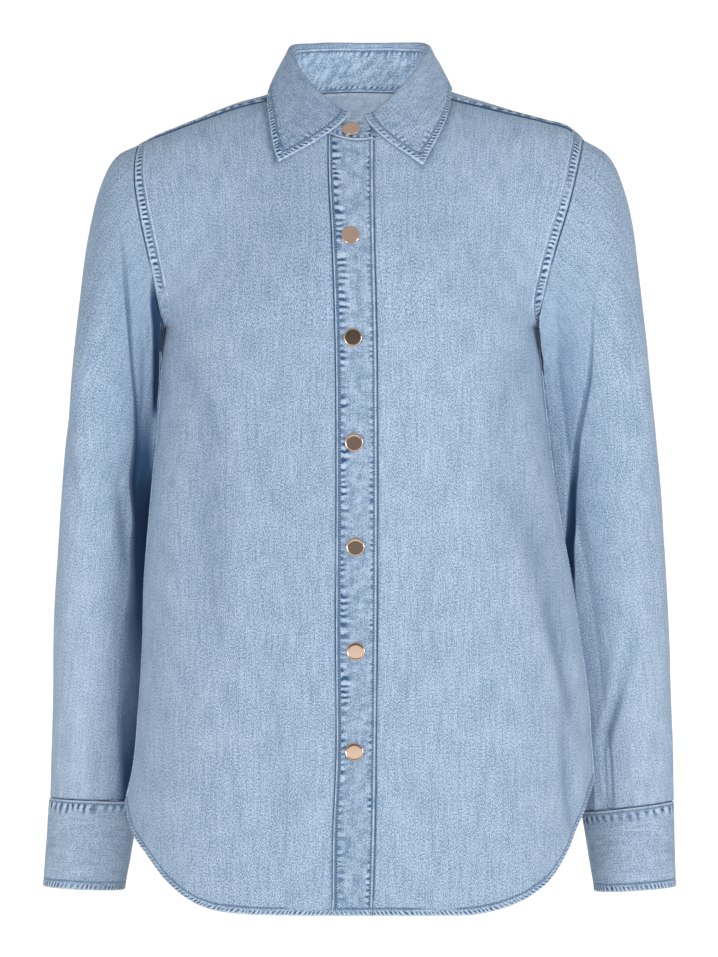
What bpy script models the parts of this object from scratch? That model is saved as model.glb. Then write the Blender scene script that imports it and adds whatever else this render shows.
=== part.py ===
"""A light denim shirt, filled out as if worn, with nobody in it.

Run with: blender --background --python part.py

Metres, +Z up. The shirt faces -Y, and +X is the wearer's left. The origin lies between the two points where
the shoulder line meets the neck, which is where the wearer's shoulders carry it. Every cloth piece is a thin
wall. Its outer face follows one shared form: the torso function below the collar and the sleeve function
beyond the armholes, so that neighbouring pieces have the same seam line and stop short of it by half a gap.
"""

import math

import bpy
import numpy as np

RIGHT, LEFT = -1, 1  # the wearer's right lies on -X
FRONT, BACK = -1, 1  # the front faces -Y

# Cloth
CLOTH = 0.0012  # wall of a single layer
DOUBLED = 0.0018  # wall of a folded and fused band
SEAM_GAP = 0.0003  # between pieces that are sewn together
LAYER_GAP = 0.0004  # between pieces that lie on each other
SEAM_WIDTH = 0.008  # the flat-felled band beside an armhole or shoulder seam
SEAM_RISE = 0.0005  # how far that band stands above the single cloth
HEM_WIDTH = 0.006

# Body
UNDERARM_Z = -0.190
SIDE_Y = 0.003  # depth of the side seams and the shoulder tips
NECK_APEX = 0.220  # rise of the shoulder arch's middle, cut away by the neck, above the underarm level
SHOULDER_TIP_Z = {RIGHT: -0.038, LEFT: -0.0326}
CHEST_SLOPE = 1.8  # power of the fall from the middle to the armhole, low on the chest
CENTRE_POWER = {FRONT: 1.35, BACK: 0.73}
ARMHOLE_DEPTH = {FRONT: 0.056, BACK: 0.060}
SQUARENESS = {FRONT: 2.25, BACK: 2.05}  # 2 is an ellipse
CHEST_POWER = 2.2
CHEST_ROW = math.radians(40)

# Neck and shoulder seams, as angles on the shoulder arch: 0 is the underarm level, 90 degrees the ridge
NECK_SHARE = 0.365
NECK_FRONT = math.radians(46.5)
NECK_BACK = math.radians(24.9)
YOKE_NECK_TURN = math.radians(73)  # where the front shoulder seam meets the neckline, from the centre front
YOKE_FRONT_TIP = math.radians(84)
YOKE_BACK_Z = -0.088
YOKE_NECK_COLUMN = 0.60  # share across, on the back seam, of the column up to the neckline's corner

# Front closing: the wearer's right front laps over the left
LAP_BLEND = 0.060
BAND_COLUMNS = 5
BUTTON_RADIUS = 0.0075
BUTTON_THICK = 0.0022
BUTTON_SIDES = 16

# Grid counts
HEM_ROWS = 12
CHEST_ROWS = 5
NECK_ROWS = 4
FRONT_COLUMNS = 9
YOKE_NECK_COLUMNS = 7
YOKE_ROWS = 5
SLEEVE_ROWS = 15
BAND_SHARES = (0.953, 0.958, 0.976, 0.990, 1.0)  # columns beside the armhole, with the felled band's edge
BAND_FADE = 0.2  # rows below the underarm over which those columns spread out


def table(columns, *rows):
    """A small table: a dictionary from each column's name to its values, one for each row."""
    return dict(zip(columns.split(), np.array(rows, float).T))


# The fall of the shoulder line from the middle (0) to its tip (1), by the share of the half width
SHOULDER = table(
    "share  right  left",
    (0.00, 0.000, 0.000),
    (0.05, 0.010, 0.010),
    (0.16, 0.090, 0.090),
    (0.28, 0.235, 0.240),
    (0.40, 0.390, 0.405),
    (0.55, 0.500, 0.530),
    (0.69, 0.637, 0.637),
    (0.83, 0.780, 0.740),
    (0.95, 0.921, 0.865),
    (1.00, 1.000, 1.000),
)

# The body's silhouette and depth at each height, as distances from the middle
BODY = table(
    "height   right   left    front   back",
    (-0.700, 0.1955, 0.1960, 0.1080, 0.1120),
    (-0.587, 0.1950, 0.1965, 0.1080, 0.1090),
    (-0.560, 0.1890, 0.1955, 0.1080, 0.1075),
    (-0.510, 0.1840, 0.1915, 0.1075, 0.1050),
    (-0.455, 0.1805, 0.1855, 0.1070, 0.1020),
    (-0.400, 0.1790, 0.1765, 0.1070, 0.0985),
    (-0.355, 0.1755, 0.1680, 0.1085, 0.0965),
    (-0.310, 0.1715, 0.1620, 0.1105, 0.0965),
    (-0.240, 0.1655, 0.1540, 0.1130, 0.0990),
    (-0.190, 0.1630, 0.1490, 0.1120, 0.1020),
)

# How far out the armhole seam lies, by the share of its height
ARMHOLE = table(
    "share  right   left",
    (0.00, 0.1630, 0.1490),
    (0.18, 0.1685, 0.1545),
    (0.40, 0.1755, 0.1630),
    (0.62, 0.1825, 0.1735),
    (0.80, 0.1865, 0.1805),
    (0.93, 0.1860, 0.1850),
    (1.00, 0.1840, 0.1870),
)

# Height of the shirt-tail hem, by the share of the half width
HEM = table(
    "share  right    left",
    (0.00, -0.6745, -0.6745),
    (0.30, -0.6745, -0.6747),
    (0.50, -0.6736, -0.6738),
    (0.62, -0.6705, -0.6685),
    (0.72, -0.6622, -0.6598),
    (0.81, -0.6470, -0.6452),
    (0.89, -0.6262, -0.6183),
    (0.95, -0.6100, -0.5900),
    (1.00, -0.5870, -0.5680),
)

# The edges of the top band, by height, and the x of the middle of its buttons
PLACKET = table(
    "height   seam     free",
    (-0.680, -0.0216, 0.0103),
    (-0.610, -0.0212, 0.0122),
    (-0.545, -0.0186, 0.0131),
    (-0.450, -0.0190, 0.0139),
    (-0.316, -0.0185, 0.0143),
    (-0.200, -0.0193, 0.0136),
    (-0.118, -0.0220, 0.0117),
    (-0.068, -0.0246, 0.0111),
    (-0.030, -0.0250, 0.0111),
)
UNDER_SHIFT = 0.0015  # the under band's seam shows this much beyond the free edge
UNDER_INSET = 0.0020  # its own free edge stops this much short of the top band's seam
BUTTONS = table(
    "x      height",
    (-0.0068, -0.1174),
    (-0.0049, -0.2012),
    (-0.0040, -0.2863),
    (-0.0028, -0.3726),
    (-0.0026, -0.4578),
    (-0.0038, -0.5409),
)

# Soft troughs pressed into the body: from one point to another in the front or back view
FOLDS = table(
    "face  from_x  from_z   to_x   to_z    depth  width",
    (FRONT, 0.134, -0.330, 0.186, -0.525, 0.0055, 0.014),
    (FRONT, 0.171, -0.500, 0.176, -0.600, 0.0050, 0.010),
    (FRONT, -0.128, -0.230, -0.122, -0.480, 0.0022, 0.017),
    (FRONT, 0.118, -0.250, 0.124, -0.400, 0.0018, 0.016),
    (BACK, -0.088, -0.180, -0.078, -0.560, 0.0045, 0.020),
    (BACK, 0.082, -0.190, 0.090, -0.590, 0.0045, 0.020),
    (BACK, 0.000, -0.250, 0.004, -0.500, 0.0025, 0.022),
    (BACK, 0.150, -0.260, 0.120, -0.430, 0.0040, 0.015),
    (BACK, -0.152, -0.250, -0.126, -0.400, 0.0040, 0.015),
)

# Each sleeve, from the armhole to the cuff seam: the outer and inner points of a ring in the front view, its
# middle's depth, its half depth, how far it leans (front outwards, back inwards) and how much of the armhole
# seam's own curve it keeps
SLEEVE = {
    RIGHT: table(
        "outer_x outer_z inner_x inner_z middle half    lean   bow",
        (0.1840, -0.0380, 0.1630, -0.1900, 0.003, 0.0580, 0.000, 1.0),
        (0.2030, -0.0484, 0.1640, -0.1935, 0.004, 0.0595, 0.002, 0.6),
        (0.2156, -0.0726, 0.1644, -0.1985, 0.006, 0.0610, 0.004, 0.3),
        (0.2250, -0.1090, 0.1650, -0.2060, 0.010, 0.0630, 0.008, 0.1),
        (0.2325, -0.1665, 0.1652, -0.2220, 0.018, 0.0650, 0.014, 0.0),
        (0.2412, -0.2505, 0.1640, -0.2680, 0.030, 0.0640, 0.020, 0.0),
        (0.2493, -0.3341, 0.1655, -0.3421, 0.042, 0.0570, 0.018, 0.0),
        (0.2556, -0.4185, 0.1715, -0.4218, 0.051, 0.0510, 0.014, 0.0),
        (0.2579, -0.5027, 0.1775, -0.5047, 0.056, 0.0450, 0.010, 0.0),
        (0.2605, -0.5846, 0.1848, -0.5876, 0.058, 0.0350, 0.004, 0.0),
    ),
    LEFT: table(
        "outer_x outer_z inner_x inner_z middle half    lean   bow",
        (0.1870, -0.0326, 0.1490, -0.1900, 0.003, 0.0580, 0.000, 1.0),
        (0.2080, -0.0465, 0.1508, -0.1940, 0.004, 0.0595, 0.002, 0.6),
        (0.2200, -0.0700, 0.1516, -0.2000, 0.006, 0.0610, 0.004, 0.3),
        (0.2290, -0.1060, 0.1526, -0.2070, 0.010, 0.0630, 0.008, 0.1),
        (0.2360, -0.1620, 0.1540, -0.2220, 0.018, 0.0650, 0.014, 0.0),
        (0.2452, -0.2505, 0.1545, -0.2680, 0.030, 0.0630, 0.020, 0.0),
        (0.2535, -0.3341, 0.1600, -0.3421, 0.042, 0.0560, 0.018, 0.0),
        (0.2590, -0.4185, 0.1710, -0.4218, 0.052, 0.0500, 0.014, 0.0),
        (0.2630, -0.5027, 0.1815, -0.5057, 0.058, 0.0440, 0.010, 0.0),
        (0.2650, -0.5876, 0.1880, -0.5968, 0.060, 0.0350, 0.004, 0.0),
    ),
}
CUFF_END = {
    RIGHT: table(
        "outer_x outer_z inner_x inner_z middle half",
        (0.2660, -0.6594, 0.1980, -0.6624, 0.060, 0.0375),
    ),
    LEFT: table(
        "outer_x outer_z inner_x inner_z middle half",
        (0.2668, -0.6598, 0.1990, -0.6640, 0.062, 0.0375),
    ),
}

# The long trough down the front of each sleeve, by height: where it lies from the inner to the outer side
SLEEVE_FOLD = {
    RIGHT: table(
        "height  share  depth  width",
        (-0.080, 0.62, 0.0000, 0.26),
        (-0.130, 0.52, 0.0040, 0.24),
        (-0.200, 0.40, 0.0080, 0.26),
        (-0.270, 0.30, 0.0100, 0.28),
        (-0.330, 0.22, 0.0070, 0.28),
        (-0.420, 0.15, 0.0030, 0.28),
        (-0.520, 0.12, 0.0000, 0.28),
    ),
    LEFT: table(
        "height  share  depth  width",
        (-0.120, 0.60, 0.0000, 0.26),
        (-0.170, 0.50, 0.0040, 0.24),
        (-0.240, 0.40, 0.0080, 0.26),
        (-0.310, 0.24, 0.0100, 0.28),
        (-0.370, 0.16, 0.0070, 0.28),
        (-0.440, 0.12, 0.0030, 0.28),
        (-0.540, 0.10, 0.0000, 0.28),
    ),
}

# The cuff: a doubled band whose ends lap at the back
CUFF_WALL = 0.0020
CUFF_COLUMNS = 26  # round the ring
CUFF_ROWS = 4
CUFF_LAP_AT = math.radians(236)  # round the ring, where 270 degrees is straight back
CUFF_LAP_COLUMNS = 3
CUFF_LAP = 2 * math.pi * CUFF_LAP_COLUMNS / CUFF_COLUMNS

# The collar, by the angle round the neck: 0 at the centre front, 90 at the wearer's right, 180 at the back.
# The stand's height and how far it leans in, in degrees
STAND = table(
    "turn  height  lean",
    (0, 0.0268, 45),
    (12, 0.0242, 44),
    (30, 0.0236, 40),
    (45, 0.0232, 34),
    (60, 0.0246, 28),
    (75, 0.0292, 23),
    (90, 0.0335, 20),
    (105, 0.0368, 18),
    (125, 0.0376, 14),
    (150, 0.0372, 9),
    (180, 0.0362, 6),
)
STAND_LAP_X = -0.0190  # where its left end stops, under the right one
STAND_ROUNDING = 7.0  # degrees over which each end's top corner is rounded
STAND_ROWS = 3
LEAF_SPAN = (9.0, 355.0)
LEAF_ROLL = table(
    "degrees  out  rise",
    (180, -0.0016, 0.0),
    (130, -0.0003, 0.0031),
    (85, 0.0024, 0.0042),
    (35, 0.0047, 0.0024),
)
LEAF_GAP = 0.00105  # between the stand's top edge and the leaf's first row
LEAF_ROWS = 6
LEAF_LIFT = 0.0018  # how much more the leaf's edge stands off the cloth on the shoulder line

# The leaf's outer edge, from its tips round to the back: its distance from the middle and its height on the
# shoulders and chest
LEAF = table(
    "turn  right_x right_z  left_x left_z",
    (9, 0.0655, -0.0560, 0.0522, -0.0587),
    (25, 0.0696, -0.0452, 0.0578, -0.0485),
    (45, 0.0732, -0.0257, 0.0657, -0.0334),
    (65, 0.0753, -0.0070, 0.0734, -0.0145),
    (88, 0.0730, 0.0100, 0.0765, 0.0100),
    (110, 0.0675, 0.0045, 0.0705, 0.0048),
    (135, 0.0515, 0.0025, 0.0530, 0.0035),
    (160, 0.0260, 0.0035, 0.0265, 0.0040),
    (180, 0.0000, 0.0040, 0.0000, 0.0040),
)

# ---------------------------------------------------------------- reading and shaping


def smoothstep(x):
    """0 below 0, 1 above 1, and an S curve between."""
    t = np.clip(x, 0.0, 1.0)
    return t * t * (3 - 2 * t)


def lookup(rows, by, column, at):
    """The column's value at each place, on a smooth cubic through the table's rows."""
    order = np.argsort(rows[by])
    x, y = rows[by][order], rows[column][order]
    slope = np.gradient(y, x)
    at = np.clip(np.asarray(at, float), x[0], x[-1])
    i = np.clip(np.searchsorted(x, at, side="right") - 1, 0, len(x) - 2)
    width = x[i + 1] - x[i]
    t = (at - x[i]) / width
    start = (1 + 2 * t) * (1 - t) ** 2 * y[i] + t * (1 - t) ** 2 * width * slope[i]
    return start + t * t * (3 - 2 * t) * y[i + 1] + t * t * (t - 1) * width * slope[i + 1]


def unit(vectors):
    return vectors / np.maximum(np.linalg.norm(vectors, axis=-1, keepdims=True), 1e-12)


def side_name(side):
    return "right" if side == RIGHT else "left"


def face_name(face):
    return "front" if face == FRONT else "back"


def stack(x, y, z):
    """Points from their coordinates, broadcast together."""
    return np.stack(np.broadcast_arrays(x, y, z), axis=-1).astype(float)


# ---------------------------------------------------------------- the torso


def section_fall(across, arch, face):
    """How far a section has turned from its centre depth (0) to its side depth (1): a quarter of a
    superellipse at and below the underarm level, and a shallow power curve over the chest."""
    power = SQUARENESS[face]
    ellipse = 1 - (1 - np.clip(across, 0, 1) ** power) ** (1 / power)
    chest = across**CHEST_POWER
    blend = smoothstep(arch / CHEST_ROW)
    return ellipse + (chest - ellipse) * blend


def lower_torso(side, face, across, drop):
    """Below the underarm level. drop is 0 there and 1 at the hem."""
    hem = lookup(HEM, "share", side_name(side), across)
    z = UNDERARM_Z + (hem - UNDERARM_Z) * drop
    half = lookup(BODY, "height", side_name(side), z)
    depth = lookup(BODY, "height", face_name(face), z)
    fall = section_fall(across, np.zeros_like(z), face)
    x = side * half * across
    y = face * depth + (SIDE_Y - face * depth) * fall
    return stack(x, y, z)


def upper_torso(side, face, across, arch):
    """From the underarm level to the shoulder ridge. arch is 0 at the first and 90 degrees at the second.
    Each row runs from the centre profile to the armhole seam."""
    depth = lookup(BODY, "height", face_name(face), UNDERARM_Z)
    centre_z = UNDERARM_Z + NECK_APEX * np.sin(arch)
    centre_y = face * depth * np.clip(np.cos(arch), 0, 1) ** CENTRE_POWER[face]
    share = np.sin(arch) ** 2
    arm_z = UNDERARM_Z + (SHOULDER_TIP_Z[side] - UNDERARM_Z) * share
    arm_y = SIDE_Y + face * ARMHOLE_DEPTH[face] * np.clip(np.sin(2 * arch), 0, 1)
    arm_x = lookup(ARMHOLE, "share", side_name(side), share)
    high = smoothstep((arch - CHEST_ROW) / (math.pi / 2 - CHEST_ROW))
    low = across**CHEST_SLOPE
    drop = low + (lookup(SHOULDER, "share", side_name(side), across) - low) * high
    x = side * arm_x * across
    y = centre_y + (arm_y - centre_y) * section_fall(across, arch, face)
    z = centre_z + (arm_z - centre_z) * drop
    return stack(x, y, z)


def torso(side, face, across, row):
    """The body's outer form. across runs from 0 at the centre line to 1 at the side seam or the armhole.
    row runs from -1 at the hem to 0 at the underarm level, and then is the arch angle."""
    across, row = np.broadcast_arrays(np.asarray(across, float), np.asarray(row, float))
    below = lower_torso(side, face, across, np.clip(-row, 0, 1))
    above = upper_torso(side, face, across, np.clip(row, 0, math.pi / 2))
    return np.where((row < 0)[..., None], below, above)


def over_shoulder(side, across, turn):
    """The upper torso by one angle that runs from the back (0) over the ridge (90 degrees) to the front."""
    back = torso(side, BACK, across, np.minimum(turn, math.pi / 2))
    front = torso(side, FRONT, across, np.minimum(math.pi - turn, math.pi / 2))
    return np.where((turn <= math.pi / 2)[..., None], back, front)


def torso_normals(side, face, across, row):
    """Unit normals of the torso, facing out, from small steps across and along it."""
    across, row = np.broadcast_arrays(np.asarray(across, float), np.asarray(row, float))
    step = 1e-4
    further, nearer = np.clip(across + step, 0, 1), np.clip(across - step, 0, 1)
    higher = np.minimum(row + step, math.pi / 2)
    aside = torso(side, face, further, row) - torso(side, face, nearer, row)
    up = torso(side, face, across, higher) - torso(side, face, across, row - step)
    return -side * face * unit(np.cross(aside, up))


def shoulder_normals(side, across, turn):
    """The same for over_shoulder."""
    step = 1e-4
    further, nearer = np.clip(across + step, 0, 1), np.clip(across - step, 0, 1)
    aside = over_shoulder(side, further, turn) - over_shoulder(side, nearer, turn)
    ahead = over_shoulder(side, across, turn + step) - over_shoulder(side, across, turn - step)
    return -side * unit(np.cross(aside, ahead))


def height_below(row):
    """Height of the middle of a row at or below the underarm level."""
    return UNDERARM_Z + (HEM["right"][0] - UNDERARM_Z) * np.clip(-row, 0, 1)


def half_width(side, row):
    """Distance from the middle to the side seam or armhole on a row."""
    upper = lookup(ARMHOLE, "share", side_name(side), np.sin(np.clip(row, 0, math.pi / 2)) ** 2)
    lower = lookup(BODY, "height", side_name(side), height_below(row))
    return np.where(row < 0, lower, upper)


def pressed(points, normals, face):
    """The points with the folds of that face pressed in: each trough has a bell-shaped section and dies away
    towards both ends."""
    x, z = points[..., 0], points[..., 2]
    depth = np.zeros_like(x)
    for i in np.flatnonzero(FOLDS["face"] == face):
        start = np.array([FOLDS["from_x"][i], FOLDS["from_z"][i]])
        run = np.array([FOLDS["to_x"][i], FOLDS["to_z"][i]]) - start
        along = ((x - start[0]) * run[0] + (z - start[1]) * run[1]) / (run @ run)
        aside = np.abs((x - start[0]) * run[1] - (z - start[1]) * run[0]) / math.sqrt(run @ run)
        ends = smoothstep(along / 0.35) * smoothstep((1 - along) / 0.35)
        depth += FOLDS["depth"][i] * ends * np.exp(-((aside / FOLDS["width"][i]) ** 2))
    return points - normals * depth[..., None]


# ---------------------------------------------------------------- seam lines


def neck_place(turn):
    """(side, share across, angle over the shoulder) of the neckline, at an angle round it in degrees."""
    a = math.radians(turn % 360)
    side = RIGHT if 0 <= math.sin(a) else LEFT
    across = NECK_SHARE * abs(math.sin(a))
    reach = NECK_FRONT if math.cos(a) > 0 else NECK_BACK
    return side, across, math.pi / 2 + reach * math.cos(a)


def neck_line(turns):
    """Points of the neckline seam at angles round the neck in degrees."""
    points = []
    for turn in turns:
        side, across, over = neck_place(turn)
        points.append(over_shoulder(side, np.array([across]), np.array([over]))[0])
    return np.array(points)


def neck_turn_at(x):
    """The angle round the neck, near the centre front, where the neckline has this x."""
    turn = 0.0
    for _ in range(20):
        turn += (neck_line([turn])[0, 0] - x) / 0.0012
    return turn


def front_seam_arch(across):
    """Arch angle of the shoulder seam at a share across: straight from the neckline to the armhole."""
    _, share, over = neck_place(math.degrees(YOKE_NECK_TURN))
    return (math.pi - over) + (YOKE_FRONT_TIP - (math.pi - over)) * (across - share) / (1 - share)


def arch_at(side, face, share, height):
    """Arch angle at which the upper torso reaches a height, at a share across."""
    angles = np.radians(np.arange(2, 90.1, 0.5))
    heights = upper_torso(side, face, np.full(len(angles), float(share)), angles)[:, 2]
    return float(np.interp(height, heights, angles))


def back_seam_arch(shares):
    """Arch angle of the yoke's level seam across the back."""
    return np.array([arch_at(RIGHT, BACK, share, YOKE_BACK_Z) for share in shares])


def centre_height(row):
    """Height of the middle of the front on a row."""
    above = UNDERARM_Z + NECK_APEX * np.sin(np.clip(row, 0, math.pi / 2))
    return np.where(row < 0, height_below(row), above)


def band_edge(name, row):
    """x of the top band's seam or free edge on a row."""
    return lookup(PLACKET, "height", name, centre_height(row))


def front_edge(side, row):
    """Distance from the middle to the seam between a front and its band."""
    return -band_edge("seam", row) if side == RIGHT else band_edge("free", row) + UNDER_SHIFT


def to_angle(across):
    """Share across as an angle round the section, in which even steps are nearly even on the cloth."""
    return np.arcsin(np.clip(across, 0, 1) ** (SQUARENESS[FRONT] / 2))


def to_share(angle):
    return np.clip(np.sin(angle), 0, 1) ** (2 / SQUARENESS[FRONT])


def column_shares(banded, rows):
    """Shares across for each row: the given ones beside the armhole, where they end in the felled band's,
    and evenly round the section below it."""
    first = to_angle(banded[:, :1])
    angles = first + (math.pi / 2 - first) * np.linspace(0, 1, banded.shape[1])
    blend = smoothstep(1 + rows / BAND_FADE)[:, None]
    return to_share(angles) + (banded - to_share(angles)) * blend


def front_shares(starts):
    """Shares across from each start to the armhole, ending in the felled band's columns."""
    first = to_angle(np.asarray(starts, float))[:, None]
    even = to_share(first + (to_angle(BAND_SHARES[0]) - first) * np.linspace(0, 1, FRONT_COLUMNS + 1))
    banded = np.broadcast_to(BAND_SHARES[1:], (len(even), len(BAND_SHARES) - 1))
    return np.concatenate([even, banded], axis=1)


def hem_rows():
    """Rows below the underarm: the hem, the top of its narrow turning, then evenly upwards."""
    turning = HEM_WIDTH / (UNDERARM_Z - HEM["right"][0])
    return np.concatenate([[-1.0, -1 + turning, -1 + turning * 1.1], np.linspace(-0.93, 0, HEM_ROWS)[:-1]])


def front_neck_turns(side):
    """Neckline angles of a front panel's rows, from its band to the shoulder seam, in degrees."""
    x = side * front_edge(side, math.pi / 2 - NECK_FRONT)
    return np.linspace(abs(neck_turn_at(x)), math.degrees(YOKE_NECK_TURN), NECK_ROWS + 1)


# ---------------------------------------------------------------- walls


def grid_normals(points, closed=False):
    """Unit normals of a grid, from the differences to its neighbours."""
    if closed:
        along = np.roll(points, -1, axis=1) - np.roll(points, 1, axis=1)
    else:
        along = np.gradient(points, axis=1)
    normals = np.cross(along, np.gradient(points, axis=0))
    return normals / np.maximum(np.linalg.norm(normals, axis=-1, keepdims=True), 1e-12)


def facing(normals, points, centre):
    """The normals, turned to point away from a centre point."""
    away = np.sum(normals * (points - centre), axis=-1).sum()
    return normals if away > 0 else -normals


def pulled_back(points, edges, distance=SEAM_GAP / 2):
    """The grid with its named edges drawn in by a distance, along the cloth."""
    result = points.copy()
    sides = {
        "first_row": (0, 1, 0),
        "last_row": (-1, -2, 0),
        "first_column": (0, 1, 1),
        "last_column": (-1, -2, 1),
    }
    for name in edges:
        end, beside, axis = sides[name]
        grid = np.moveaxis(result, axis, 0)
        step = grid[beside] - grid[end]
        grid[end] += distance * step / np.maximum(np.linalg.norm(step, axis=-1, keepdims=True), 1e-9)
    return result


def grid_faces(rows, columns, closed):
    """Corner numbers of each quad of a grid."""
    across = columns if closed else columns - 1
    r, c = np.meshgrid(np.arange(rows - 1), np.arange(across), indexing="ij")
    after = (c + 1) % columns
    quads = [r * columns + c, r * columns + after, (r + 1) * columns + after, (r + 1) * columns + c]
    return np.stack(quads, axis=-1).reshape(-1, 4)


def rim(rows, columns, closed):
    """The grid's border as closed loops of corner numbers."""
    bottom = np.arange(columns)
    top = (rows - 1) * columns + np.arange(columns)
    if closed:
        return [bottom, top[::-1]]
    right = np.arange(rows) * columns + columns - 1
    left = np.arange(rows)[::-1] * columns
    return [np.concatenate([bottom[:-1], right[:-1], top[::-1][:-1], left[:-1]])]


def add_mesh(name, points, faces, material, sharp_degrees):
    """A named object with smooth shading between faces that meet at less than an angle."""
    mesh = bpy.data.meshes.new(name)
    mesh.from_pydata(points.tolist(), [], faces)
    mesh.materials.append(material)
    mesh.shade_smooth()
    mesh.set_sharp_from_angle(angle=math.radians(sharp_degrees))
    bpy.context.scene.collection.objects.link(bpy.data.objects.new(name, mesh))


def wall(name, outer, inner, material, closed=False):
    """A closed solid between two grids of the same shape. Its outer quads are turned to face outwards, and
    each is split along its shorter diagonal, as is the inner one behind it."""
    rows, columns = outer.shape[:2]
    count = rows * columns
    quads = grid_faces(rows, columns, closed)
    corners = outer.reshape(-1, 3)
    depth = inner.reshape(-1, 3) - corners
    diagonals = corners[quads[:, 2:]] - corners[quads[:, :2]]
    normal = np.cross(diagonals[:, 0], diagonals[:, 1])
    turned = np.sum(normal * depth[quads[:, 0]]) > 0
    if turned:
        quads = quads[:, ::-1]
    diagonals = np.linalg.norm(corners[quads[:, 2:]] - corners[quads[:, :2]], axis=-1)
    quads = np.where((diagonals[:, 0] <= diagonals[:, 1])[:, None], quads, np.roll(quads, -1, axis=1))
    split = np.concatenate([quads[:, [0, 1, 2]], quads[:, [0, 2, 3]]])
    faces = [tuple(corner) for corner in split.tolist()]
    faces += [tuple(corner[::-1]) for corner in (split + count).tolist()]
    for loop in rim(rows, columns, closed):
        for a, b in zip(loop.tolist(), np.roll(loop, -1).tolist()):
            side = (a, a + count, b + count, b)
            faces.append(side[::-1] if turned else side)
    add_mesh(name, np.concatenate([corners, inner.reshape(-1, 3)]), faces, material, 50)


def finish(name, colour, roughness=0.9, metallic=0.0):
    """A plain material, matt as cloth unless it says otherwise."""
    material = bpy.data.materials.new(name)
    material.use_nodes = True
    shader = material.node_tree.nodes["Principled BSDF"]
    shader.inputs["Base Color"].default_value = (*colour, 1.0)
    shader.inputs["Roughness"].default_value = roughness
    shader.inputs["Metallic"].default_value = metallic
    return material


# ---------------------------------------------------------------- body pieces


def front_grid(side):
    """(shares across, rows) of a front panel, from the hem up to its shoulder seam."""
    turns = front_neck_turns(side)
    neck = [neck_place(t if side == RIGHT else 360 - t) for t in turns]
    neck_arch = np.array([math.pi - place[2] for place in neck])
    below = hem_rows()
    start_row = np.concatenate([below, np.linspace(0, neck_arch[0], CHEST_ROWS + 1)[:-1], neck_arch])
    start = front_edge(side, start_row) / half_width(side, start_row)
    start[-len(turns) :] = [place[1] for place in neck]
    climb = np.linspace(0, 1, CHEST_ROWS + len(turns))
    end_row = np.concatenate([below, front_seam_arch(1.0) * climb])
    across = column_shares(front_shares(start), start_row)
    share = (across - across[:, :1]) / (1 - across[:, :1])
    return across, start_row[:, None] + (end_row - start_row)[:, None] * share


def armhole_rise(rows):
    """Extra height of the felled band beside the armhole, for a grid whose last columns lie along it."""
    rise = np.zeros(rows.shape)
    taper = smoothstep((rows[:, -1] - 0.3) / 0.6)
    rise[:, -len(BAND_SHARES) + 1 :] = SEAM_RISE * taper[:, None]
    return rise


def front_panel(side, material):
    """One front: hem to shoulder seam, band to side seam, with the felled band beside the armhole and the
    narrow turning at the hem. The right one is lifted over the left one's band."""
    across, rows = front_grid(side)
    normals = torso_normals(side, FRONT, across, rows)
    form = pressed(torso(side, FRONT, across, rows), normals, FRONT)
    if side == RIGHT:
        beyond = half_width(side, rows) * across - front_edge(side, rows)
        form = form + normals * ((LAYER_GAP + CLOTH) * (1 - smoothstep(beyond / LAP_BLEND)))[..., None]
    form = pulled_back(form, ("first_column", "last_column", "last_row"))
    rise = armhole_rise(rows)
    rise[:2] = SEAM_RISE
    wall("front_" + side_name(side), form + normals * rise[..., None], form - normals * CLOTH, material)


def yoke_shares():
    """Shares across of the yoke's columns on its front edge and its back seam, from the centre outwards."""
    neck = [neck_place(turn)[1] for turn in yoke_neck_turns()]
    front = np.concatenate([neck[:-1], front_shares(neck[-1:])[0]])
    middle = to_share(to_angle(YOKE_NECK_COLUMN) * np.linspace(0, 1, YOKE_NECK_COLUMNS + 1)[:-1])
    return front, np.concatenate([middle, front_shares([YOKE_NECK_COLUMN])[0]])


def yoke_neck_turns():
    """Neckline angles of the yoke's right half's columns, from the centre back to the shoulder seam."""
    way = 1 - np.linspace(1, 0, YOKE_NECK_COLUMNS + 1) ** 1.25
    return 180 - (180 - math.degrees(YOKE_NECK_TURN)) * way


def yoke_climb():
    """Shares of the way from the yoke's back seam to its front edge, with the felled band's edge."""
    band = 1 - SEAM_WIDTH / 0.11
    return np.sort(np.concatenate([np.linspace(0, 1, YOKE_ROWS + 1), [band, band - 0.004]]))[:, None]


def yoke_half():
    """(shares, angles over the shoulder) of half the yoke: rows from its back seam up to the neck or the
    shoulder seam, columns from the centre outwards."""
    front, back = yoke_shares()
    neck = [neck_place(turn)[2] for turn in yoke_neck_turns()[:-1]]
    top = np.concatenate([neck, math.pi - front_seam_arch(front[YOKE_NECK_COLUMNS:])])
    bottom = back_seam_arch(back)
    climb = yoke_climb()
    return back + (front - back) * climb, bottom + (top - bottom) * climb


def mirrored(right, left):
    """A grid whose columns run from the wearer's right, through the shared centre, to the left."""
    return np.concatenate([right[:, ::-1], left[:, 1:]], axis=1)


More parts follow.
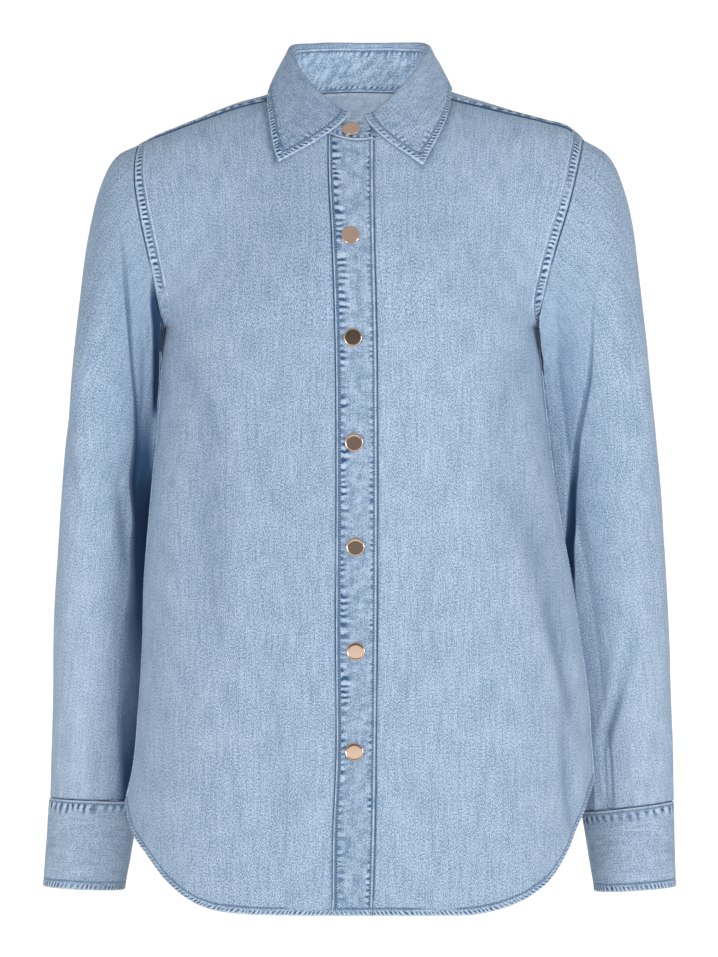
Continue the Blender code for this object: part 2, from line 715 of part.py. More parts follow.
def yoke(material):
    """The yoke: one piece over both shoulders and round the back of the neck."""
    across, turn = yoke_half()
    form = mirrored(*[over_shoulder(side, across, turn) for side in (RIGHT, LEFT)])
    normals = mirrored(*[shoulder_normals(side, across, turn) for side in (RIGHT, LEFT)])
    form = pulled_back(form, ("first_row", "last_row", "first_column", "last_column"))
    neck = slice(across.shape[1] - 1 - YOKE_NECK_COLUMNS, across.shape[1] + YOKE_NECK_COLUMNS)
    turns = np.concatenate([yoke_neck_turns()[::-1], 360 - yoke_neck_turns()[1:]])
    _, out, _ = collar_frame(turns)
    away = out - normals[-1, neck] * np.sum(out * normals[-1, neck], axis=-1, keepdims=True)
    form[-1, neck] = neck_line(turns) + unit(away) * SEAM_GAP / 2
    rise = np.zeros(across.shape)
    rise[-2:, YOKE_NECK_COLUMNS + 1 :] = SEAM_RISE
    rise = mirrored(rise, rise)
    wall("yoke", form + normals * rise[..., None], form - normals * CLOTH, material)


def back_panel(material):
    """The back, from the hem to the yoke."""
    shares = yoke_shares()[1]
    below = np.repeat(hem_rows()[:, None], len(shares), axis=1)
    rows = np.concatenate([below, back_seam_arch(shares) * np.linspace(0, 1, CHEST_ROWS + 1)[:, None]])
    across = column_shares(np.broadcast_to(shares, rows.shape), rows[:, 0])
    grids = []
    for side in (RIGHT, LEFT):
        normals = torso_normals(side, BACK, across, rows)
        grids.append((pressed(torso(side, BACK, across, rows), normals, BACK), normals))
    form = mirrored(grids[0][0], grids[1][0])
    normals = mirrored(grids[0][1], grids[1][1])
    form = pulled_back(form, ("last_row", "first_column", "last_column"))
    rise = armhole_rise(rows)
    rise[:2] = SEAM_RISE
    rise = mirrored(rise, rise)
    wall("back", form + normals * rise[..., None], form - normals * CLOTH, material)


def band_strip(first, last, rows):
    """The torso's form and normals between two x positions near the centre front. Both are functions of the
    row, and rows above the underarm level are given as shares of the way to the neckline."""
    columns = []
    for share in np.linspace(0, 1, BAND_COLUMNS + 1):
        arches = np.where(rows < 0, rows, rows * (math.pi / 2 - NECK_FRONT))
        x = first(arches) + (last(arches) - first(arches)) * share
        top = math.pi - neck_place(neck_turn_at(x[-1]))[2]
        column_rows = np.where(rows < 0, rows, rows * top)
        on_right = x < 0
        across = np.abs(x) / np.where(on_right, *[half_width(side, column_rows) for side in (RIGHT, LEFT)])
        points = [torso(side, FRONT, across, column_rows) for side in (RIGHT, LEFT)]
        normals = [torso_normals(side, FRONT, across, column_rows) for side in (RIGHT, LEFT)]
        pick = on_right[:, None]
        columns.append((np.where(pick, *points), np.where(pick, *normals)))
    return tuple(np.stack(grids, axis=1) for grids in zip(*columns))


def band_rows():
    return np.concatenate([hem_rows(), np.linspace(0, 1, CHEST_ROWS + 1)])


def top_band(rows):
    return band_strip(lambda row: band_edge("seam", row), lambda row: band_edge("free", row), rows)


def placket_right(material):
    """The band down the wearer's right front, on top of the left one."""
    form, normals = top_band(band_rows())
    form = pulled_back(form, ("first_column", "last_row"))
    base = form + normals * LAYER_GAP
    wall("placket_right", base + normals * DOUBLED, base, material)


def under_band(rows):
    return band_strip(
        lambda row: band_edge("seam", row) + UNDER_INSET,
        lambda row: band_edge("free", row) + UNDER_SHIFT,
        rows,
    )


def placket_left(material):
    """The band of the wearer's left front, under the right one."""
    form, normals = under_band(band_rows())
    form = pulled_back(form, ("last_column", "last_row"))
    wall("placket_left", form, form - normals * DOUBLED, material)


# ---------------------------------------------------------------- sleeves


def armhole_angles():
    """Angles round the armhole, matching the rows of the front, the yoke and the back. 0 is the underarm,
    90 degrees the front and 180 the shoulder tip."""
    front = 2 * YOKE_FRONT_TIP * np.linspace(0, 1, CHEST_ROWS + NECK_ROWS + 1)
    shoulder = 2 * math.pi - 2 * yoke_half()[1][::-1, -1]
    back = 2 * math.pi - 2 * back_seam_arch([1.0]) * np.linspace(0, 1, CHEST_ROWS + 1)[::-1]
    return np.concatenate([front, shoulder[1:], back[1:-1]])


def armhole_line(side, angles):
    """Points of the armhole seam."""
    over = math.pi - angles / 2
    return over_shoulder(side, np.ones_like(over), over)


def ring(values, angles):
    """A sleeve ring: an ellipse across the line from its inner to its outer point, leaning so that its front
    half moves outwards."""
    centre_x = (values["outer_x"] + values["inner_x"]) / 2
    centre_z = (values["outer_z"] + values["inner_z"]) / 2
    run_x = values["outer_x"] - values["inner_x"]
    run_z = values["outer_z"] - values["inner_z"]
    length = np.hypot(run_x, run_z)
    lean = values.get("lean", 0.0)
    half = np.sqrt((length / 2) ** 2 - lean**2)
    reach = -half * np.cos(angles) + lean * np.sin(angles)
    x = centre_x + reach * run_x / length
    z = centre_z + reach * run_z / length
    return stack(x, values["middle"] - values["half"] * np.sin(angles), z)


def sleeve_ring(side, station, angles):
    """The sleeve's ring at a station: 0 at the armhole and the table's last row at the cuff seam."""
    rows = SLEEVE[side]
    numbered = {**rows, "station": np.arange(len(rows["bow"]), dtype=float)}
    values = {name: lookup(numbered, "station", name, station) for name in rows}
    points = ring(values, angles)
    first = {name: rows[name][0] for name in rows}
    bow = armhole_line(side, angles) * [side, 1, 1] - ring(first, angles)
    points = points + bow * values["bow"]
    share = (1 - np.cos(angles)) / 2
    fold = SLEEVE_FOLD[side]
    height = points[..., 2]
    aside = (share - lookup(fold, "height", "share", height)) / lookup(fold, "height", "width", height)
    depth = lookup(fold, "height", "depth", height) * np.exp(-(aside**2)) * smoothstep(np.sin(angles) / 0.5)
    points[..., 1] += depth * smoothstep(station / 3)
    return points * [side, 1, 1]


def sleeve(side, material):
    """One sleeve: a tube from the armhole seam to the cuff seam."""
    angles = armhole_angles()
    last = len(SLEEVE[side]["bow"]) - 1
    stations = last * np.linspace(0, 1, SLEEVE_ROWS + 1) ** 1.15
    even = np.linspace(0, 2 * math.pi, len(angles), endpoint=False)
    turned = [angles + (even - angles) * smoothstep(s / 3) for s in stations]
    form = np.array([sleeve_ring(side, s, ring_angles) for s, ring_angles in zip(stations, turned)])
    form = pulled_back(form, ("first_row", "last_row"), SEAM_GAP)
    normals = grid_normals(form, closed=True)
    normals = facing(normals, form, form.mean(axis=1, keepdims=True))
    inner = form - normals * CLOTH
    over = math.pi - angles / 2
    body = unit(over_shoulder(side, np.full(len(over), 0.99), over) - armhole_line(side, angles))
    inner[0] -= body * np.maximum(np.sum((inner[0] - form[0]) * body, axis=-1, keepdims=True), 0)
    wall("sleeve_" + side_name(side), form, inner, material, closed=True)


def cuff_ring(side, share, angles):
    """The cuff's form, between the cuff seam and its lower edge."""
    end = CUFF_END[side]
    top = {name: SLEEVE[side][name][-1] for name in end}
    values = {name: top[name] + (end[name][0] - top[name]) * share for name in end}
    return ring(values, angles) * [side, 1, 1]


def cuff(side, material):
    """A band round the wrist, whose outer end laps over its inner end at the back."""
    sweep = np.linspace(0, 2 * math.pi + CUFF_LAP, CUFF_COLUMNS + CUFF_LAP_COLUMNS + 1)
    inset = (CUFF_WALL + LAYER_GAP) * (1 - smoothstep(sweep / CUFF_LAP - 1))
    form = np.array([cuff_ring(side, s, CUFF_LAP_AT + sweep) for s in np.linspace(0, 1, CUFF_ROWS + 1)])
    normals = facing(grid_normals(form), form, form.mean(axis=1, keepdims=True))
    form = pulled_back(form, ("first_row",), SEAM_GAP)
    outer = form + normals * (SEAM_RISE - inset)[None, :, None]
    wall("cuff_" + side_name(side), outer, outer - normals * CUFF_WALL, material)


# ---------------------------------------------------------------- collar


def around(turn):
    """The same place on the collar's tables for either side: degrees from the centre front, 0 to 180."""
    return np.abs((np.asarray(turn, float) + 180) % 360 - 180)


def lap_lift(turns):
    """How far the stand's right end is lifted over its left end."""
    return (DOUBLED + 2 * LAYER_GAP) * (1 - smoothstep(np.asarray(turns, float) / 60.0))


def collar_frame(turns):
    """For each angle round the neck: the neckline point, the direction out of the neck and the direction in
    which the stand rises."""
    a = np.radians(np.asarray(turns, float))
    lean = np.radians(lookup(STAND, "turn", "lean", around(turns)))[:, None]
    level = stack(-np.sin(a), -np.cos(a), 0.0)
    up = np.array([0.0, 0.0, 1.0])
    out = level * np.cos(lean) + up * np.sin(lean)
    rise = up * np.cos(lean) - level * np.sin(lean)
    return neck_line(turns), out, rise


def stand_turns():
    """Angles round the neck of the collar stand's columns, matching the pieces below it."""
    right = front_neck_turns(RIGHT)
    left = 360 - front_neck_turns(LEFT)[::-1]
    free = neck_turn_at(float(band_edge("free", math.pi / 2 - NECK_FRONT)))
    over = np.linspace(free, right[0], BAND_COLUMNS + 1)
    under = np.linspace(left[-1], 360 + neck_turn_at(STAND_LAP_X), BAND_COLUMNS + 1)
    yoke_right = yoke_neck_turns()[::-1]
    yoke_left = 360 - yoke_neck_turns()
    return np.concatenate([over, right[1:], yoke_right[1:], yoke_left[1:], left[1:], under[1:]])


def stand_height(turns):
    """The stand's height, rounded down towards its two ends."""
    height = lookup(STAND, "turn", "height", around(turns))
    corner = np.clip(1 - np.minimum(turns - turns[0], turns[-1] - turns) / STAND_ROUNDING, 0, 1)
    return height * (1 - 0.45 * (1 - np.sqrt(1 - corner**2)))


def collar_stand(material):
    """The band that stands round the neck and closes with the top button."""
    turns = stand_turns()
    base, out, rise = collar_frame(turns)
    levels = np.linspace(0, 1, STAND_ROWS + 1)[:, None] * stand_height(turns) + SEAM_GAP * 2
    outer = base + rise * levels[..., None] + out * (lap_lift(turns) + 0.0002)[:, None]
    wall("collar_stand", outer, outer - out * DOUBLED, material)


def leaf_edge(turns):
    """Points of the collar leaf's outer edge, and the normals of the shoulders or the chest under it."""
    points, normals = [], []
    for turn in turns:
        half = float(around(turn))
        side = RIGHT if turn % 360 <= 180 else LEFT
        face = FRONT if half < 88 else BACK
        x = float(lookup(LEAF, "turn", side_name(side) + "_x", half))
        z = float(lookup(LEAF, "turn", side_name(side) + "_z", half))
        share = x / float(half_width(side, math.radians(60)))
        arch = arch_at(side, face, share, z)
        for _ in range(3):
            share = x / float(half_width(side, arch))
            arch = arch_at(side, face, share, z)
        place = (side, np.array([share]), np.array([arch if face == BACK else math.pi - arch]))
        points.append(over_shoulder(*place)[0])
        normals.append(shoulder_normals(*place)[0])
    return np.array(points), np.array(normals)


def collar_leaf(material):
    """The turned-down collar: up from the stand, over the roll and down to its outer edge."""
    turns = stand_turns()
    turns = turns[(turns >= LEAF_SPAN[0]) & (turns <= LEAF_SPAN[1])]
    base, out, rise = collar_frame(turns)
    lift = lap_lift(turns)[:, None]
    height = lookup(STAND, "turn", "height", around(turns)) + LEAF_GAP
    top = base + rise * height[:, None] + out * lift
    rows = [top + out * o + rise * r for o, r in zip(LEAF_ROLL["out"], LEAF_ROLL["rise"])]
    edge, normals = leaf_edge(turns)
    ridge = np.exp(-(((around(turns) - 88) / 25) ** 2))[:, None]
    edge = edge + normals * (DOUBLED + 0.0013 + LEAF_LIFT * ridge)
    down = unit(edge - base)
    start = top + out * 0.0052
    front = 1 - smoothstep((around(turns) - 20) / 30)[:, None]
    control = base + out * (0.0068 + 0.0015 * front + lift) + rise * 0.004 + down * 0.004
    for share in np.linspace(0, 1, LEAF_ROWS):
        rows.append((1 - share) ** 2 * start + 2 * share * (1 - share) * control + share**2 * edge)
    outer = np.array(rows)
    normals = grid_normals(outer)
    if np.sum(normals[-1] * (outer[-1] - np.array([0, 0, -0.05]))) < 0:
        normals = -normals
    normals[0] = -out
    wall("collar_leaf", outer, outer - normals * DOUBLED, material)


# ---------------------------------------------------------------- buttons


def button(name, centre, normal, material):
    """A flat metal cap with a rounded edge: a turned profile set on the cloth."""
    aside = unit(np.cross(normal, [0, 0, 1.0]))
    upright = np.cross(aside, normal)
    profile = [(0.86, 0.0), (1.0, 0.35), (1.0, 0.62), (0.88, 1.0)]
    a = np.linspace(0, 2 * math.pi, BUTTON_SIDES, endpoint=False)[:, None]
    spokes = BUTTON_RADIUS * (np.cos(a) * aside + np.sin(a) * upright)
    points = np.concatenate([centre + spokes * r + normal * BUTTON_THICK * h for r, h in profile])
    faces = []
    for level in range(len(profile) - 1):
        for i in range(BUTTON_SIDES):
            j = (i + 1) % BUTTON_SIDES
            low, high = level * BUTTON_SIDES, (level + 1) * BUTTON_SIDES
            faces.append((low + i, high + i, high + j, low + j))
    faces.append(tuple(range(BUTTON_SIDES)))
    faces.append(tuple(range(len(points) - BUTTON_SIDES, len(points)))[::-1])
    add_mesh(name, points, faces, material, 40)


def front_buttons(material):
    """The six buttons down the band, numbered after the collar's."""
    rows = np.linspace(-1, 1, 600)
    form, normals = top_band(rows)
    for number, (x, height) in enumerate(zip(BUTTONS["x"], BUTTONS["height"]), start=2):
        row = int(np.argmin(np.abs(form[:, 2, 2] - height)))
        column = int(np.argmin(np.abs(form[row, :, 0] - x)))
        normal = normals[row, column]
        point = form[row, column] * [0, 1, 1] + [x, 0, 0]
        button(f"button_{number}", point + normal * (2 * LAYER_GAP + DOUBLED), normal, material)


def collar_button(material):
    """The top button, on the collar stand's right end."""
    turns = np.array([neck_turn_at(BUTTONS["x"][0])])
    base, out, rise = (v[0] for v in collar_frame(turns))
    lift = float(lap_lift(turns)[0]) + 0.0011
    button("button_1", base + rise * 0.0105 + out * lift, out, material)


def cuff_button(side, material):
    """The button that closes a cuff, at the back."""
    angle = CUFF_LAP_AT + CUFF_LAP * 0.45 + np.array([-0.05, 0, 0.05])
    rows = np.array([cuff_ring(side, s, angle) for s in (0.45, 0.5, 0.55)])
    normals = grid_normals(rows)
    centre, normal = rows[1, 1], normals[1, 1]
    lift = SEAM_RISE + LAYER_GAP + 0.0003
    middle = cuff_ring(side, 0.5, np.linspace(0, 2 * math.pi, 12, endpoint=False)).mean(axis=0)
    normal = normal if normal @ (centre - middle) > 0 else -normal
    button("cuff_button_" + side_name(side), centre + normal * lift, normal, material)


# ---------------------------------------------------------------- the shirt


def main():
    for old in list(bpy.data.objects):
        bpy.data.objects.remove(old)
    denim = finish("light_denim", (0.34, 0.46, 0.62))
    metal = finish("rose_gold_metal", (0.80, 0.60, 0.47), roughness=0.18, metallic=1.0)
    for side in (RIGHT, LEFT):
        front_panel(side, denim)
    placket_right(denim)
    placket_left(denim)
    back_panel(denim)
    yoke(denim)
    for side in (RIGHT, LEFT):
        sleeve(side, denim)
        cuff(side, denim)
    collar_stand(denim)
    collar_leaf(denim)
    collar_button(metal)
    front_buttons(metal)
    for side in (RIGHT, LEFT):
        cuff_button(side, metal)


main()
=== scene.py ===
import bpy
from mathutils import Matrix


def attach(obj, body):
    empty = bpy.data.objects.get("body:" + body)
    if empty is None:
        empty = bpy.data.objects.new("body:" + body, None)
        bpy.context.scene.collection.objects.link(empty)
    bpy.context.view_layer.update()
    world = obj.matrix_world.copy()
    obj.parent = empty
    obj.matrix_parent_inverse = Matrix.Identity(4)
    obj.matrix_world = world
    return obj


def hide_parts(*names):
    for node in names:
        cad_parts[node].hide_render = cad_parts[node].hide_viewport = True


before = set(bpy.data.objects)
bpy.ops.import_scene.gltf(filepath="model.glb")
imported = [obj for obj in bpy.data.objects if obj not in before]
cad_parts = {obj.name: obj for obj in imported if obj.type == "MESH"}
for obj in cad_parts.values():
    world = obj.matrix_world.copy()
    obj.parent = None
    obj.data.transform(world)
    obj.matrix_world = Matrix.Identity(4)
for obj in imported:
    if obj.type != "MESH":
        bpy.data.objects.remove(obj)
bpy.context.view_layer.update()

import math
from typing import NamedTuple

import bpy
import numpy as np
from bpy.props import FloatProperty, FloatVectorProperty, PointerProperty
from bpy.types import Operator, Panel, PropertyGroup

bl_info = {
    "name": "Denim Shirt",
    "version": (1, 0, 0),
    "blender": (4, 5, 0),
    "location": "View3D > Sidebar > Shirt",
    "description": "Dresses the packed shirt: cloth shells, sewn margins, stitching and metal snap caps",
    "category": "Object",
}

# Metres, +Z up. The shirt faces -Y, and +X is the wearer's left. Every cloth shell has the form of the
# solid that it stands for, so the form's functions and tables are the same: the torso below the collar, the
# sleeves beyond the armholes and the collar round the neck.

RIGHT, LEFT = -1, 1  # the wearer's right lies on -X
SIDES = (RIGHT, LEFT)
FRONT, BACK = -1, 1  # the front faces -Y
BODY_NAME = "root"

# Cloth
CLOTH = 0.0012  # wall of a single layer
DOUBLED = 0.0018  # wall of a folded and fused band
SEAM_GAP = 0.0003  # between pieces that are sewn together
LAYER_GAP = 0.0004  # between pieces that lie on each other
SEAM_WIDTH = 0.0084  # a felled band beside a seam
SLEEVE_SEAM_WIDTH = 0.0070
HEM_WIDTH = 0.0070
HEM_DEPTH = CLOTH + SEAM_GAP  # of a hem band, down through its panel
SECOND_STITCH = 0.0012  # from a felled band's seam to its second line of stitching

# Body
UNDERARM_Z = -0.190
SIDE_Y = 0.003
NECK_APEX = 0.220
SHOULDER_TIP_Z = {RIGHT: -0.038, LEFT: -0.0326}
CHEST_SLOPE = 1.8
CENTRE_POWER = {FRONT: 1.35, BACK: 0.73}
ARMHOLE_DEPTH = {FRONT: 0.056, BACK: 0.060}
SQUARENESS = {FRONT: 2.25, BACK: 2.05}
CHEST_POWER = 2.2
CHEST_ROW = math.radians(40)

# Neck and shoulder seams, as angles on the shoulder arch: 0 is the underarm level, 90 degrees the ridge
NECK_SHARE = 0.365
NECK_FRONT = math.radians(46.5)
NECK_BACK = math.radians(24.9)
NECK_PACE = 0.0012  # of neckline for each degree, near the front
YOKE_NECK_TURN = 73.0  # degrees round the neck
YOKE_FRONT_TIP = math.radians(84)
YOKE_BACK_Z = -0.088
YOKE_NECK_COLUMN = 0.60

STEP = 1e-4  # to either side of a point, for its normal
LAP_BLEND = 0.060  # over which the right front comes down from the left one's band
UNDER_SHIFT = 0.0015
UNDER_INSET = 0.0020


def table(columns, *rows):
    """A small table: a dictionary from each column's name to its values, one for each row."""
    return dict(zip(columns.split(), np.array(rows, float).T))


def rows_where(rows, column, value):
    """The table's rows that have a value in a column, each as a dictionary."""
    return [{name: rows[name][i] for name in rows} for i in np.flatnonzero(rows[column] == value)]


SHOULDER = table(
    "share  right  left",
    (0.00, 0.000, 0.000),
    (0.05, 0.010, 0.010),
    (0.16, 0.090, 0.090),
    (0.28, 0.235, 0.240),
    (0.40, 0.390, 0.405),
    (0.55, 0.500, 0.530),
    (0.69, 0.637, 0.637),
    (0.83, 0.780, 0.740),
    (0.95, 0.921, 0.865),
    (1.00, 1.000, 1.000),
)
BODY = table(
    "height   right   left    front   back",
    (-0.700, 0.1955, 0.1960, 0.1080, 0.1120),
    (-0.587, 0.1950, 0.1965, 0.1080, 0.1090),
    (-0.560, 0.1890, 0.1955, 0.1080, 0.1075),
    (-0.510, 0.1840, 0.1915, 0.1075, 0.1050),
    (-0.455, 0.1805, 0.1855, 0.1070, 0.1020),
    (-0.400, 0.1790, 0.1765, 0.1070, 0.0985),
    (-0.355, 0.1755, 0.1680, 0.1085, 0.0965),
    (-0.310, 0.1715, 0.1620, 0.1105, 0.0965),
    (-0.240, 0.1655, 0.1540, 0.1130, 0.0990),
    (-0.190, 0.1630, 0.1490, 0.1120, 0.1020),
)
ARMHOLE = table(
    "share  right   left",
    (0.00, 0.1630, 0.1490),
    (0.18, 0.1685, 0.1545),
    (0.40, 0.1755, 0.1630),
    (0.62, 0.1825, 0.1735),
    (0.80, 0.1865, 0.1805),
    (0.93, 0.1860, 0.1850),
    (1.00, 0.1840, 0.1870),
)
HEM = table(
    "share  right    left",
    (0.00, -0.6745, -0.6745),
    (0.30, -0.6745, -0.6747),
    (0.50, -0.6736, -0.6738),
    (0.62, -0.6705, -0.6685),
    (0.72, -0.6622, -0.6598),
    (0.81, -0.6470, -0.6452),
    (0.89, -0.6262, -0.6183),
    (0.95, -0.6100, -0.5900),
    (1.00, -0.5870, -0.5680),
)
PLACKET = table(
    "height   seam     free",
    (-0.680, -0.0216, 0.0103),
    (-0.610, -0.0212, 0.0122),
    (-0.545, -0.0186, 0.0131),
    (-0.450, -0.0190, 0.0139),
    (-0.316, -0.0185, 0.0143),
    (-0.200, -0.0193, 0.0136),
    (-0.118, -0.0220, 0.0117),
    (-0.068, -0.0246, 0.0111),
    (-0.030, -0.0250, 0.0111),
)

# Troughs pressed into the body, from one point to another in the front or back view, each painted darker by
# its depth: painted shade
CREASES = table(
    "face  from_x  from_z   to_x   to_z    depth  width",
    (FRONT, 0.128, -0.300, 0.178, -0.480, 0.0034, 0.012),
    (FRONT, 0.154, -0.405, 0.187, -0.545, 0.0042, 0.0060),
    (FRONT, 0.169, -0.490, 0.178, -0.625, 0.0040, 0.0050),
    (FRONT, -0.128, -0.230, -0.122, -0.480, 0.0024, 0.014),
    (FRONT, 0.118, -0.250, 0.124, -0.400, 0.0018, 0.014),
    (FRONT, 0.060, -0.330, 0.052, -0.520, 0.0009, 0.012),
    (FRONT, -0.070, -0.420, -0.064, -0.640, 0.0010, 0.014),
    (FRONT, -0.150, -0.205, -0.112, -0.300, 0.0016, 0.009),
    (FRONT, 0.140, -0.200, 0.108, -0.285, 0.0016, 0.010),
    (BACK, -0.088, -0.180, -0.078, -0.560, 0.0048, 0.016),
    (BACK, 0.082, -0.190, 0.090, -0.590, 0.0048, 0.017),
    (BACK, 0.000, -0.250, 0.004, -0.500, 0.0026, 0.019),
    (BACK, 0.150, -0.260, 0.120, -0.430, 0.0042, 0.012),
    (BACK, -0.152, -0.250, -0.126, -0.400, 0.0042, 0.012),
    (BACK, -0.040, -0.120, -0.030, -0.260, 0.0014, 0.012),
    (BACK, 0.046, -0.115, 0.040, -0.240, 0.0012, 0.013),
    (BACK, 0.120, -0.450, 0.160, -0.560, 0.0024, 0.010),
)

# Patches of painted shade, or of painted light where dark is below 0: so far from the middle plane, at a
# height
LIGHT_AND_SHADE_PATCHES = table(
    "side   x      height  wide   tall   dark",
    (RIGHT, 0.060, -0.110, 0.060, 0.100, 0.17),
    (RIGHT, 0.070, -0.330, 0.080, 0.120, 0.08),
    (RIGHT, 0.195, -0.150, 0.040, 0.100, 0.20),
    (LEFT, 0.055, -0.100, 0.060, 0.080, 0.11),
    (LEFT, 0.200, -0.140, 0.040, 0.080, 0.08),
    (RIGHT, 0.245, -0.540, 0.045, 0.180, -0.28),
    (LEFT, 0.240, -0.540, 0.050, 0.160, -0.20),
)

# Each sleeve's rings, from the armhole to the cuff seam
SLEEVE = {
    RIGHT: table(
        "outer_x outer_z inner_x inner_z middle half    lean   bow",
        (0.1840, -0.0380, 0.1630, -0.1900, 0.003, 0.0580, 0.000, 1.0),
        (0.2030, -0.0484, 0.1640, -0.1935, 0.004, 0.0595, 0.002, 0.6),
        (0.2156, -0.0726, 0.1644, -0.1985, 0.006, 0.0610, 0.004, 0.3),
        (0.2250, -0.1090, 0.1650, -0.2060, 0.010, 0.0630, 0.008, 0.1),
        (0.2325, -0.1665, 0.1652, -0.2220, 0.018, 0.0650, 0.014, 0.0),
        (0.2412, -0.2505, 0.1640, -0.2680, 0.030, 0.0640, 0.020, 0.0),
        (0.2493, -0.3341, 0.1655, -0.3421, 0.042, 0.0570, 0.018, 0.0),
        (0.2556, -0.4185, 0.1715, -0.4218, 0.051, 0.0510, 0.014, 0.0),
        (0.2579, -0.5027, 0.1775, -0.5047, 0.056, 0.0450, 0.010, 0.0),
        (0.2605, -0.5846, 0.1848, -0.5876, 0.058, 0.0350, 0.004, 0.0),
    ),
    LEFT: table(
        "outer_x outer_z inner_x inner_z middle half    lean   bow",
        (0.1870, -0.0326, 0.1490, -0.1900, 0.003, 0.0580, 0.000, 1.0),
        (0.2080, -0.0465, 0.1508, -0.1940, 0.004, 0.0595, 0.002, 0.6),
        (0.2200, -0.0700, 0.1516, -0.2000, 0.006, 0.0610, 0.004, 0.3),
        (0.2290, -0.1060, 0.1526, -0.2070, 0.010, 0.0630, 0.008, 0.1),
        (0.2360, -0.1620, 0.1540, -0.2220, 0.018, 0.0650, 0.014, 0.0),
        (0.2452, -0.2505, 0.1545, -0.2680, 0.030, 0.0630, 0.020, 0.0),
        (0.2535, -0.3341, 0.1600, -0.3421, 0.042, 0.0560, 0.018, 0.0),
        (0.2590, -0.4185, 0.1710, -0.4218, 0.052, 0.0500, 0.014, 0.0),
        (0.2630, -0.5027, 0.1815, -0.5057, 0.058, 0.0440, 0.010, 0.0),
        (0.2650, -0.5876, 0.1880, -0.5968, 0.060, 0.0350, 0.004, 0.0),
    ),
}
CUFF_END = {
    RIGHT: table(
        "outer_x outer_z inner_x inner_z middle half",
        (0.2660, -0.6594, 0.1980, -0.6624, 0.060, 0.0375),
    ),
    LEFT: table(
        "outer_x outer_z inner_x inner_z middle half",
        (0.2668, -0.6598, 0.1990, -0.6640, 0.062, 0.0375),
    ),
}
SLEEVE_FOLD = {
    RIGHT: table(
        "height  share  depth  width",
        (-0.080, 0.62, 0.0000, 0.26),
        (-0.130, 0.52, 0.0020, 0.24),
        (-0.200, 0.40, 0.0040, 0.26),
        (-0.270, 0.30, 0.0050, 0.28),
        (-0.330, 0.22, 0.0050, 0.28),
        (-0.420, 0.15, 0.0030, 0.28),
        (-0.520, 0.12, 0.0000, 0.28),
    ),
    LEFT: table(
        "height  share  depth  width",
        (-0.120, 0.60, 0.0000, 0.26),
        (-0.170, 0.50, 0.0012, 0.24),
        (-0.240, 0.40, 0.0024, 0.26),
        (-0.310, 0.24, 0.0024, 0.28),
        (-0.370, 0.16, 0.0012, 0.28),
        (-0.440, 0.12, 0.0000, 0.28),
        (-0.540, 0.10, 0.0000, 0.28),
    ),
}

# The long tuck down the front of each sleeve. Inside its line, the distance from the middle plane, the
# cloth is set back by the step over the ramp's width and has that tint, painted shade. The groove along
# the line is so deep, so dark with painted shade and so wide, and fades towards the body
SLEEVE_TUCK = {
    RIGHT: table(
        "height  line    step    tint  ramp",
        (-0.090, 0.2040, 0.0000, 0.00, 0.0040),
        (-0.136, 0.1976, 0.0000, 0.00, 0.0040),
        (-0.175, 0.1942, 0.0000, 0.00, 0.0040),
        (-0.200, 0.1926, 0.0005, 0.00, 0.0040),
        (-0.225, 0.1910, 0.0010, 0.05, 0.0040),
        (-0.250, 0.1892, 0.0020, 0.15, 0.0040),
        (-0.275, 0.1890, 0.0040, 0.62, 0.0040),
        (-0.300, 0.1910, 0.0080, 1.05, 0.0040),
        (-0.317, 0.1926, 0.0110, 1.25, 0.0032),
        (-0.334, 0.1912, 0.0120, 1.35, 0.0022),
        (-0.351, 0.1900, 0.0125, 1.50, 0.0030),
        (-0.367, 0.1908, 0.0125, 1.50, 0.0048),
        (-0.384, 0.1918, 0.0120, 1.40, 0.0065),
        (-0.401, 0.1928, 0.0110, 1.30, 0.0080),
        (-0.418, 0.1950, 0.0095, 1.20, 0.0110),
        (-0.434, 0.2000, 0.0080, 1.05, 0.0160),
        (-0.460, 0.2020, 0.0060, 0.80, 0.0170),
        (-0.484, 0.2028, 0.0050, 0.65, 0.0150),
        (-0.509, 0.2045, 0.0050, 0.65, 0.0110),
        (-0.534, 0.2045, 0.0050, 0.85, 0.0090),
        (-0.559, 0.2038, 0.0050, 1.10, 0.0080),
        (-0.580, 0.2032, 0.0040, 1.25, 0.0070),
    ),
    LEFT: table(
        "height  line",
        (-0.150, 0.1995),
        (-0.184, 0.1955),
        (-0.209, 0.1950),
        (-0.234, 0.1938),
        (-0.259, 0.1892),
        (-0.284, 0.1852),
        (-0.309, 0.1838),
        (-0.334, 0.1820),
        (-0.359, 0.1816),
        (-0.376, 0.1804),
        (-0.392, 0.1810),
        (-0.405, 0.1815),
        (-0.425, 0.1830),
    ),
}
